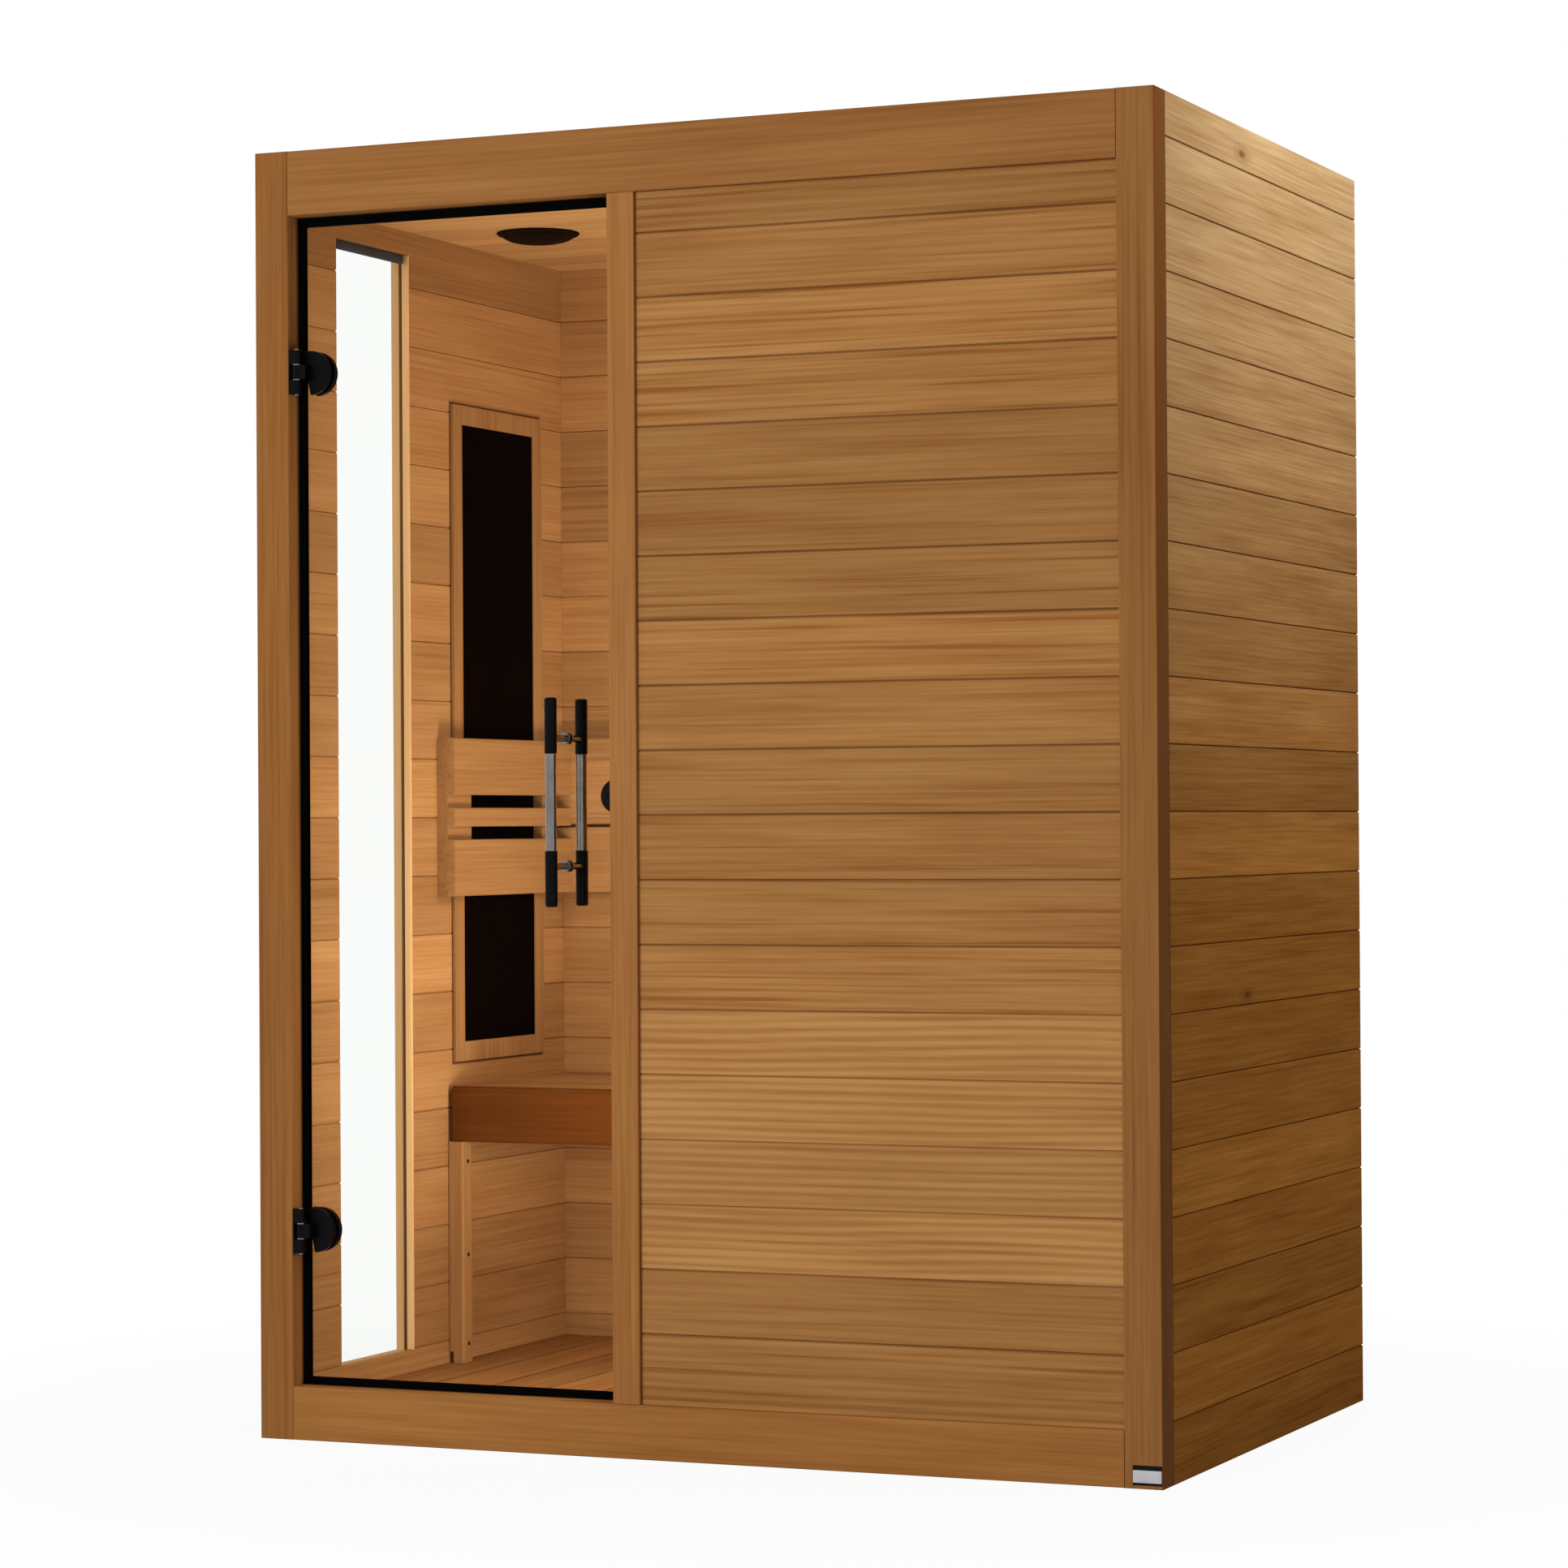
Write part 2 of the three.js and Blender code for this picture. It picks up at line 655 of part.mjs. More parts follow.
// A heater on a wall: a dark panel inside a thin wooden frame; the wall is the group's z = 0.
function makeHeater(cabin, name, xAxis, place) {
  const heater = facing(xAxis, UP, place);
  cabin.add(heater);
  const half = heaterFrameWidth / 2;
  const inside = half - heaterFrameBorder;
  const insideZ = [heaterFrameBorder, heaterFrameHeight - heaterFrameBorder];
  const outline = rectangle([-half, half], [0, heaterFrameHeight]);
  outline.holes.push(rectangle([-inside, inside], insideZ, new THREE.Path()));
  const frame = extruded(outline, heaterFrameThickness - seatGap).translate(0, 0, seatGap);
  add(heater, `heater_${name}_frame`, frame, frameWood);
  const panelX = [-inside + seatGap, inside - seatGap];
  const panelZ = [insideZ[0] + seatGap, insideZ[1] - seatGap];
  const panel = extruded(rectangle(panelX, panelZ), heaterPanelThickness - seatGap).translate(0, 0, seatGap);
  add(heater, `heater_${name}_panel`, panel, blackPanel);
}

// A guard: slats on spacers; the wall is the group's z = 0 and x runs along it.
// Each spacer is a span along the wall and the depth at which it starts.
function guardGeometry(length, slats, spacers) {
  const height = [slats[0][0], slats.at(-1)[1]];
  const timbers = slats.map(([low, high]) =>
    timber([0, length], [low, high], [guardSpacerDepth, guardDepth], "x", slatEdgeRadius),
  );
  const blocks = spacers.map(([span, start]) => block(span, height, [start, guardSpacerDepth + seatGap]));
  return joined(...timbers, ...blocks);
}

function makeGuards(cabin) {
  const wide = [0, guardWideSlatHeight];
  const narrow = [wide[1] + guardSlotHeight, wide[1] + guardSlotHeight + guardNarrowSlatHeight];
  const top = [narrow[1] + guardSlotHeight, narrow[1] + guardSlotHeight + guardWideSlatHeight];
  const backFaceY = innerBackY - guardDepth;
  const sideLength = backFaceY - seatGap - guardFrontY;
  // The side spacers fill the guard up to the heater's panel, and are stepped to lie over its frame.
  const overFrame = heaterFrameThickness + seatGap;
  const frameStart = sideHeaterSpan[0] - guardFrontY;
  const frameEnd = sideHeaterSpan[1] - guardFrontY;
  const farEnd = frameEnd + guardFarSpacerGap + guardFarSpacerWidth;
  const sideSpacers = [
    [[0, frameStart - guardNearSpacerGap], seatGap],
    [[0, frameStart + heaterFrameBorder], overFrame],
    [[frameEnd - heaterFrameBorder, farEnd], overFrame],
    [[frameEnd + guardFarSpacerGap, farEnd], seatGap],
  ];
  const mirrored = sideSpacers.map(([[from, to], start]) => [[sideLength - to, sideLength - from], start]);

  const left = facing(BACK, UP, [-innerX, guardFrontY, guardBase]);
  add(left, "guard_left", guardGeometry(sideLength, [wide, narrow, top], sideSpacers), innerWood);
  const right = facing(FRONT, UP, [innerX, guardFrontY + sideLength, guardBase]);
  add(right, "guard_right", guardGeometry(sideLength, [wide, narrow, top], mirrored), innerWood);

  const backLength = 2 * (innerX - seatGap);
  const low = [0, backGuardLowSlatHeight];
  const high = [low[1] + backGuardSlotHeight, low[1] + backGuardSlotHeight + backGuardTopSlatHeight];
  const backSpacers = [0, (backLength - guardSpacerWidth) / 2, backLength - guardSpacerWidth].map((from) => [
    [from, from + guardSpacerWidth],
    seatGap,
  ]);
  const back = facing(RIGHT, UP, [-innerX + seatGap, innerBackY, guardBase]);
  add(back, "guard_back", guardGeometry(backLength, [low, high], backSpacers), innerWood);
  cabin.add(left, right, back);
}

function makeBench(cabin) {
  const half = innerX - seatGap;
  const seatFoot = seatHeight - seatThickness;
  const seatBackY = innerBackY - seatGap;
  const boardsFrontY = seatFrontY + apronThickness + seatGap;
  const joints = jointsBetween(boardsFrontY, seatBackY, boardsFrontY + seatBoardPitch, seatBoardPitch);
  const seat = boarded(seatThickness, boardsFrontY, seatBackY, 2 * half, joints, "far");
  add(cabin, "bench_seat", lay(seat, UP, BACK, [half, 0, seatFoot]), innerWood);

  const apronFoot = seatHeight - apronHeight;
  const apronX = half - apronEndGap;
  const apronY = [seatFrontY, seatFrontY + apronThickness];
  const apron = timber([-apronX, apronX], apronY, [apronFoot, seatHeight], "x", apronNosingRadius);
  add(cabin, "bench_apron", apron, innerWood);

  // Each cleat stands on the floor under the end of the apron, with a notched toe beside the wall.
  const cleatBase = floorThickness + seatGap;
  const cleatTop = apronFoot - seatGap;
  for (const [name, side] of [["bench_cleat_left", -1], ["bench_cleat_right", 1]]) {
    const xs = [innerX - seatGap - cleatWidth, innerX - seatGap].map((x) => side * x).sort((a, b) => a - b);
    const ys = [seatFrontY, seatFrontY + cleatDepth];
    const wallX = side * (innerX - seatGap);
    const toe = block(
      [wallX - cleatToeDepth, wallX + cleatToeDepth],
      [ys[0] - cleatToeDepth, ys[1] + cleatToeDepth],
      [cleatBase - cleatToeHeight, cleatBase + cleatToeHeight],
    );
    add(cabin, name, cut(timber(xs, ys, [cleatBase, cleatTop], "z"), toe), innerWood);
  }

  const ledgerY = [innerBackY - ledgerDepth, innerBackY - seatGap];
  const ledgerTop = seatFoot - seatGap;
  const ledger = timber([-half, half], ledgerY, [ledgerTop - ledgerHeight, ledgerTop], "x");
  add(cabin, "bench_ledger", ledger, innerWood);
}

// The control panel: a shallow housing on the wall, a display set in from behind,
// and keys that a flange keeps behind the face.
function makeControls(cabin) {
  const panel = facing(LEFT, UP, [stileRightX + controlStileDistance, infillBackY + seatGap, controlZ]);
  cabin.add(panel);
  const lensSeatWidth = displayWidth + 2 * displayFlangeWidth;
  const lensSeatHeight = displayHeight + 2 * displayFlangeWidth;
  const keysWidth = keyColumnPitch + 2 * keyBorder;
  const halfWidth = (lensSeatWidth + keysWidth + displaySideBorder) / 2 + controlWallThickness;
  const halfHeight = lensSeatHeight / 2 + displayTopBorder + controlWallThickness;
  const displayX = -halfWidth + controlWallThickness + displaySideBorder + lensSeatWidth / 2;
  const firstKeyX = displayX + lensSeatWidth / 2 + keyBorder;
  const outline = roundedRectangle([-halfWidth, halfWidth], [-halfHeight, halfHeight], controlCornerRadius);
  const faceBack = controlDepth - controlFaceThickness;
  const pocket = block(
    [-halfWidth + controlWallThickness, halfWidth - controlWallThickness],
    [-halfHeight + controlWallThickness, halfHeight - controlWallThickness],
    [-controlFaceThickness, faceBack],
  );
  const halfDisplay = [displayWidth / 2, displayHeight / 2];
  const displayCut = block(
    [displayX - halfDisplay[0], displayX + halfDisplay[0]],
    [-halfDisplay[1], halfDisplay[1]],
    [0, 2 * controlDepth],
  );
  const keyRows = [keyRowPitch / 2, -keyRowPitch / 2];
  const keyColumns = [firstKeyX, firstKeyX + keyColumnPitch];
  const keyPlaces = keyRows.flatMap((y) => keyColumns.map((x) => [x, y]));
  const keyHoles = keyPlaces.map(([x, y]) =>
    turnedUp(rod(keyRadius + keyClearance, [0, 2 * controlDepth]), smallRoundSteps).translate(x, y, 0),
  );
  const shell = bevelled(outline, controlDepth, controlBevelSize);
  add(panel, "control_housing", cut(shell, pocket, displayCut, ...keyHoles), blackPlastic);

  const lens = block(
    [displayX - halfDisplay[0] + seatGap, displayX + halfDisplay[0] - seatGap],
    [-halfDisplay[1] + seatGap, halfDisplay[1] - seatGap],
    [faceBack - displayFlangeLap, faceBack + displayThickness - displayFaceRecess],
  );
  const flange = block(
    [displayX - lensSeatWidth / 2, displayX + lensSeatWidth / 2],
    [-lensSeatHeight / 2, lensSeatHeight / 2],
    [faceBack - displayFlangeWidth, faceBack - seatGap],
  );
  add(panel, "control_display", joined(lens, flange), blackPanel);

  const flangeTop = faceBack - seatGap;
  const flangeFoot = flangeTop - keyFlangeThickness;
  const capTop = controlDepth + keyProudHeight;
  const key = [
    [0, flangeFoot - keyStemLength],
    [keyRadius / 2, flangeFoot - keyStemLength],
    [keyRadius / 2, flangeFoot],
    [keyRadius + keyFlangeWidth, flangeFoot],
    [keyRadius + keyFlangeWidth, flangeTop],
    [keyRadius, flangeTop],
    [keyRadius, capTop - controlBevelSize / 2],
    [keyRadius - controlBevelSize / 2, capTop],
    [0, capTop],
  ];
  keyPlaces.forEach(([x, y], index) => {
    add(panel, keyNames[index], turnedUp(key, smallRoundSteps), whitePlastic).position.set(x, y, 0);
  });
}

// The fixed half of a hinge: a leaf on the post that carries the outer two knuckles,
// and the pin with its washers.
function makeHingeLeaf(cabin, name, height) {
  const hinge = new THREE.Group();
  hinge.position.set(hingeX, hingeY, height);
  cabin.add(hinge);
  const half = hingeHeight / 2;
  const knuckle = (hingeHeight - 2 * washerThickness) / 3;
  const leafX = [-hingeStandoff + seatGap, -hingeStandoff + leafThickness];
  const leafFrontY = leafSetback - hingeSetback;
  const leafBackY = glassSetback - sealWallThickness - leafSealGap - hingeSetback;
  const leaf = timber(leafX, [leafFrontY, leafBackY], [-half, half], "x");
  const ends = [
    [-half, -half + knuckle],
    [half - knuckle, half],
  ];
  const knuckles = ends.map((span) => turnedUp(rod(knuckleRadius, span), smallRoundSteps));
  const webs = ends.map((span) => block([leafX[0], 0], [leafFrontY, 0], span));
  const bore = turnedUp(rod(pinRadius + pinClearance, [-hingeHeight, hingeHeight]), smallRoundSteps);
  add(hinge, `hinge_${name}_leaf`, cut(joined(leaf, ...webs, ...knuckles), bore), blackMetal);

  const washer = knuckle / 2 + seatGap / 2;
  const washerTop = knuckle / 2 + washerThickness - seatGap / 2;
  const headFoot = half + seatGap;
  const headTop = headFoot + pinHeadHeight;
  const pin = [
    [0, -headTop],
    [pinHeadRadius, -headTop],
    [pinHeadRadius, -headFoot],
    [pinRadius, -headFoot],
    [pinRadius, -washerTop],
    [knuckleRadius, -washerTop],
    [knuckleRadius, -washer],
    [pinRadius, -washer],
    [pinRadius, washer],
    [knuckleRadius, washer],
    [knuckleRadius, washerTop],
    [pinRadius, washerTop],
    [pinRadius, headFoot],
    [pinHeadRadius, headFoot],
    [pinHeadRadius, headTop],
    [0, headTop],
  ];
  add(hinge, `hinge_${name}_pin`, turnedUp(pin, smallRoundSteps), chrome);
}

// The outline of a hinge plate: straight towards the pin, round towards the glass.
function clampOutline(start) {
  const radius = hingeHeight / 2;
  const shape = new THREE.Shape();
  shape.moveTo(start, -radius);
  shape.absarc(clampLength - radius, 0, radius, -Math.PI / 2, Math.PI / 2);
  shape.lineTo(start, radius);
  shape.closePath();
  return shape;
}

// The moving half of a hinge: an outer clamp with the middle knuckle and a boss through the glass,
// and a back plate behind it.
function makeHingeClamp(door, name, height, plateStart, glassFrontY) {
  const hinge = new THREE.Group();
  hinge.position.z = height;
  door.add(hinge);
  const bossX = clampLength - hingeHeight / 2;
  const steps = 8;
  const plateBackY = glassFrontY - seatGap;
  const plate = bevelled(clampOutline(plateStart), clampThickness, clampBevelSize, steps);
  lay(plate, RIGHT, UP, [0, plateBackY, 0]);
  const halfKnuckle = (hingeHeight - 2 * washerThickness) / 6;
  const knuckle = turnedUp(rod(knuckleRadius, [-halfKnuckle, halfKnuckle]), smallRoundSteps);
  const armFrontY = -knuckleRadius / 2;
  const armBackY = plateBackY - clampThickness / 2;
  const arm = block([0, clampArmWidth], [armFrontY, armBackY], [-halfKnuckle, halfKnuckle]);
  const bossEndY = glassFrontY + glassThickness;
  const boss = turned(rod(clampBossRadius, [plateBackY - clampBevelSize, bossEndY]), smallRoundSteps);
  boss.translate(bossX, 0, 0);
  const bore = turnedUp(rod(pinRadius + pinClearance, [-hingeHeight, hingeHeight]), smallRoundSteps);
  add(hinge, `hinge_${name}_clamp`, cut(joined(plate, arm, knuckle, boss), bore), blackMetal);

  const back = bevelled(clampOutline(plateStart), clampThickness, clampBevelSize, steps);
  lay(back, RIGHT, UP, [0, bossEndY + seatGap + clampThickness, 0]);
  add(hinge, `hinge_${name}_back_plate`, back, blackMetal);
}

// The door, built about its hinge axis: turning the group about Z swings the door.
function makeDoor(cabin) {
  const door = new THREE.Group();
  door.position.set(hingeX, hingeY, 0);
  cabin.add(door);
  const glassFrontY = glassSetback - hingeSetback;
  const glassBackY = glassFrontY + glassThickness;
  const sealX = [doorHingeGap - hingeStandoff, doorwayWidth - hingeStandoff - doorLatchGap];
  const sealZ = [railHeight + doorFootGap, headerUnderside - doorTopGap];
  const clearX = [sealX[0] + sealSideWidth, sealX[1] - sealSideWidth];
  const clearZ = [sealZ[0] + sealFootWidth, sealZ[1] - sealTopWidth];
  const glassX = [sealX[0] + sealWebThickness, sealX[1] - sealWebThickness];
  const glassZ = [sealZ[0] + sealWebThickness, sealZ[1] - sealWebThickness];
  const studHeights = [handleHeight - studSpacing / 2, handleHeight + studSpacing / 2];

  const pane = rectangle(glassX, glassZ);
  const clampX = clampLength - hingeHeight / 2;
  const clampHole = clampBossRadius + clampBossClearance;
  const studHole = studRadius + studHoleClearance;
  Object.values(hingeHeights).forEach((z) => pane.holes.push(circle(clampX, z, clampHole)));
  studHeights.forEach((z) => pane.holes.push(circle(handleHingeDistance, z, studHole)));
  const glass = extruded(pane, glassThickness, 8);
  add(door, "door_glass", lay(glass, RIGHT, UP, [0, glassBackY, 0]), clearGlass);

  const ring = rectangle(sealX, sealZ);
  ring.holes.push(rectangle(clearX, clearZ, new THREE.Path()));
  const seal = extruded(ring, glassThickness + 2 * sealWallThickness);
  lay(seal, RIGHT, UP, [0, glassBackY + sealWallThickness, 0]);
  const grown = ([from, to]) => [from - seatGap, to + seatGap];
  const groove = block(grown(glassX), grown([glassFrontY, glassBackY]), grown(glassZ));
  add(door, "door_seal", cut(seal, groove), blackRubber);

  for (const [name, height] of Object.entries(hingeHeights)) {
    makeHingeClamp(door, name, height, clearX[0] + seatGap, glassFrontY);
  }
  makeHandles(door, glassFrontY, glassBackY, studHeights);
}

// The handles: a bar on each face of the glass, waisted where a bright sleeve is let in, on two studs.
function makeHandles(door, glassFrontY, glassBackY, studHeights) {
  const half = handleLength / 2;
  const waist = sleeveLength / 2;
  const bar = [
    [0, -half],
    [barRadius - barEndRadius, -half],
    [barRadius, -half + barEndRadius],
    [barRadius, -waist - seatGap],
    [barWaistRadius, -waist - seatGap],
    [barWaistRadius, waist + seatGap],
    [barRadius, waist + seatGap],
    [barRadius, half - barEndRadius],
    [barRadius - barEndRadius, half],
    [0, half],
  ];
  const sleeveBore = barWaistRadius + seatGap;
  const sleeve = [
    [sleeveBore, -waist],
    [sleeveRadius, -waist],
    [sleeveRadius, waist],
    [sleeveBore, waist],
    [sleeveBore, -waist],
  ];
  const axes = { outer: glassFrontY - handleStandoff, inner: glassBackY + handleStandoff };
  for (const [side, y] of Object.entries(axes)) {
    const place = [handleHingeDistance, y, handleHeight];
    add(door, `handle_${side}_bar`, turnedUp(bar, smallRoundSteps), blackMetal).position.set(...place);
    add(door, `handle_${side}_sleeve`, turnedUp(sleeve, smallRoundSteps), chrome).position.set(...place);
  }

  const ends = [axes.outer + barRadius + seatGap, axes.inner - barRadius - seatGap];
  const outerFace = glassFrontY - seatGap;
  const innerFace = glassBackY + seatGap;
  const stud = [
    [0, ends[0]],
    [studRadius, ends[0]],
    [studRadius, outerFace - studFlangeThickness],
    [studFlangeRadius, outerFace - studFlangeThickness],
    [studFlangeRadius, outerFace],
    [studRadius, outerFace],
    [studRadius, innerFace],
    [studFlangeRadius, innerFace],
    [studFlangeRadius, innerFace + studFlangeThickness],
    [studRadius, innerFace + studFlangeThickness],
    [studRadius, ends[1]],
    [0, ends[1]],
  ];
  const names = ["handle_stud_lower", "handle_stud_upper"];
  studHeights.forEach((z, index) => {
    add(door, names[index], turned(stud, smallRoundSteps), chrome).position.set(handleHingeDistance, 0, z);
  });
}

// The catch: a disc on the back of the stile, with a magnet that meets the back of the glass.
function makeCatch(cabin) {
  const discX = stileLeftX - catchStileDistance;
  const magnetX = stileLeftX - doorLatchGap - sealSideWidth - magnetSealGap - magnetRadius;
  const faceY = innerFrontY + seatGap;
  const glassBackY = frontY + glassSetback + glassThickness;
  const disc = turned([
    [0, faceY],
    [catchRadius - easedEdgeRadius, faceY],
    [catchRadius, faceY + easedEdgeRadius],
    [catchRadius, faceY + catchThickness - easedEdgeRadius],
    [catchRadius - easedEdgeRadius, faceY + catchThickness],
    [0, faceY + catchThickness],
  ]);
  const magnet = turned(rod(magnetRadius, [glassBackY + seatGap, faceY + easedEdgeRadius]), smallRoundSteps);
  const body = joined(disc, magnet.translate(magnetX - discX, 0, 0));
  add(cabin, "door_catch", body, blackPlastic).position.set(discX, 0, catchHeight);
}

const sauna = new THREE.Group();
makeFrontFrame(sauna);
makeWalls(sauna);
makeFloor(sauna);
makeCeiling(sauna);
makeSpeaker(sauna, "speaker_left", -speakerX);
makeSpeaker(sauna, "speaker_right", speakerX);
makeLamp(sauna);
makeVent(sauna);
makeHeater(sauna, "left", BACK, [-innerX, sideHeaterY, heaterBase]);
makeHeater(sauna, "right", FRONT, [innerX, sideHeaterY, heaterBase]);
makeHeater(sauna, "back_left", RIGHT, [-backHeaterX, innerBackY, heaterBase]);
makeHeater(sauna, "back_right", RIGHT, [backHeaterX, innerBackY, heaterBase]);
makeGuards(sauna);
makeBench(sauna);
makeControls(sauna);
for (const [name, height] of Object.entries(hingeHeights)) makeHingeLeaf(sauna, name, height);
makeDoor(sauna);
makeCatch(sauna);

export default sauna;
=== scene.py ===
# %% [markdown]
# # Dressing an infrared sauna cabin
# The cabin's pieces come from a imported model, in which every board, hinge and handle has its real size.
# This lesson adds what the eye expects next: hemlock with a grain, clear glass, black and bright metal,
# a few small fasteners and a studio. All lengths are metres, X runs right, Y back and Z up.

# %% Load the frame
import math
import bpy
import bmesh
import numpy as np
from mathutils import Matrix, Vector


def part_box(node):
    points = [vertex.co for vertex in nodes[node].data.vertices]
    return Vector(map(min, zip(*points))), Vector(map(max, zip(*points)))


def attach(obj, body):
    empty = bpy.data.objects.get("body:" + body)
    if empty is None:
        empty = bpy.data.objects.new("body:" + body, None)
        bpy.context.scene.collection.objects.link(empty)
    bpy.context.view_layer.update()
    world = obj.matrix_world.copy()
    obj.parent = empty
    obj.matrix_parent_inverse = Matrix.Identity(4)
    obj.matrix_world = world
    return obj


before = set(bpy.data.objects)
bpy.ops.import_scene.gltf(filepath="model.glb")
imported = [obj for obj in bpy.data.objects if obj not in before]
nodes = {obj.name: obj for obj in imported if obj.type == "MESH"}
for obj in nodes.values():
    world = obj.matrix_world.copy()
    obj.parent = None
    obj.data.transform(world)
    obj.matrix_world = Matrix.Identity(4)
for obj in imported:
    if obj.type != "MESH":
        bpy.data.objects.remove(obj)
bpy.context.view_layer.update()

# %% [markdown]
# ## Camera
# The photograph was taken from the front right, a little below the cabin's middle, with a long lens.
# A camera is a turn and a place: three unit vectors (right, up, and backwards) are the columns of its matrix.
# They could be set by eye with a Track To constraint, but the angles are known here, so the matrix is
# written out.

# %% Camera from yaw, pitch and roll
YAW, PITCH, ROLL = (math.radians(a) for a in (23.438, 0.518, -0.347))
CAMERA_PLACE = np.array([2.5732, -6.0824, 0.9034])
forward = np.array([-math.sin(YAW) * math.cos(PITCH), math.cos(YAW) * math.cos(PITCH), math.sin(PITCH)])
level = np.array([math.cos(YAW), math.sin(YAW), 0.0])
upward = np.cross(level, forward)
right = math.cos(ROLL) * level + math.sin(ROLL) * upward
up = math.cos(ROLL) * upward - math.sin(ROLL) * level
turn = np.eye(4)
turn[:3, 0], turn[:3, 1], turn[:3, 2], turn[:3, 3] = right, up, -forward, CAMERA_PLACE
lens = bpy.data.cameras.new("photo_camera")
lens.sensor_width = 36.0
lens.lens = 99.82
camera = bpy.data.objects.new("photo_camera", lens)
bpy.context.collection.objects.link(camera)
camera.matrix_world = turn.T.tolist()
bpy.context.scene.camera = camera
bpy.context.scene.view_settings.view_transform = "Standard"
print("camera at", CAMERA_PLACE, "lens", lens.lens)

# %% [markdown]
# ## A short way to write node trees
# Materials here are node trees. Wiring each node by hand is long, so one helper makes a node, fills its
# sockets and links those values that are sockets themselves. Four more helpers stand on it: a sum, a soft
# step, a swing about zero and a blend of two colours.


# %% Node helper
def node(tree, kind, settings=None, **sockets):
    """Makes a node; each named socket gets a value, or a link if the value is another socket."""
    made = tree.nodes.new(kind)
    for key, value in (settings or {}).items():
        setattr(made, key, value)
    for key, value in sockets.items():
        name = key.replace("_", " ")
        socket = made.inputs[int(key[1:])] if key[0] == "i" and key[1:].isdigit() else made.inputs[name]
        if isinstance(value, bpy.types.NodeSocket):
            tree.links.new(value, socket)
        else:
            socket.default_value = value
    return made


def maths(tree, operation, a, b=0.0):
    """One Math node: operation on a and b."""
    return node(tree, "ShaderNodeMath", {"operation": operation}, i0=a, i1=b).outputs[0]


def ramp(tree, value, low, high, to_low=0.0, to_high=1.0):
    """Smooth step: value from low to high becomes to_low to to_high."""
    settings = {"interpolation_type": "SMOOTHSTEP"}
    limits = {"i1": low, "i2": high, "i3": to_low, "i4": to_high}
    return node(tree, "ShaderNodeMapRange", settings, i0=value, **limits).outputs[0]


def swing(tree, noise, gain):
    """(noise - 0.5) x gain: a noise turned into a swing about zero."""
    return maths(tree, "MULTIPLY", maths(tree, "SUBTRACT", noise, 0.5), gain)


def blend(tree, mask, first, second):
    """One Mix node for colours: first where the mask is empty, second where it is full."""
    return node(tree, "ShaderNodeMix", {"data_type": "RGBA"}, i0=mask, i6=first, i7=second).outputs[2]


def srgb(r, g, b):
    """A colour read as 0 to 255 from a screen, turned into the linear values that shaders use."""
    c = np.array([r, g, b]) / 255.0
    return (*np.where(c <= 0.04045, c / 12.92, ((c + 0.055) / 1.055) ** 2.4).tolist(), 1.0)


print("mid hemlock in linear light:", [round(c, 3) for c in srgb(160, 112, 62)])

# %% [markdown]
# ## Hemlock boards
# Hemlock has fine fibres along the board, soft darker growth lines, and boards that differ in tone because
# they come from different trees. A wood picture would repeat; instead a node group works it out from Object
# coordinates. The board number is the height divided by the pitch and rounded down, and a white noise of that
# number gives each board its own tone, its own strength of stripes and its own stretch of grain. A batch of
# boards can be set apart as plainer, paler and evenly striped.

# %% What the grain is made of
# Each grain is its stretch along the board and its fineness across it, both per metre, and its detail.
GRAINS = {
    "drift": (1.1, 5.0, 2.0), "cloud": (2.2, 16.0, 3.0), "fibre": (5.0, 260.0, 4.0),
    "streak": (1.6, 70.0, 3.0), "vein": (1.5, 120.0, 3.0), "crack": (7.0, 3.0, 2.0),
}
CLOUD_GAIN, FIBRE_GAIN, STREAK_GAIN, WAVE_GAIN = 0.7, 0.9, 0.6, 0.2
BOARD_SHIFT = 40.0
LINES_ACROSS, LINES_DEEP, LINE_DRIFT = 78.0, 41.0, 3.0
BATCH_CALM, BATCH_LIFT = 0.8, 0.22
TONES = (0.85, 1.1)
CRACK_EDGE = (0.001, 0.0034)
print("grains:", list(GRAINS))


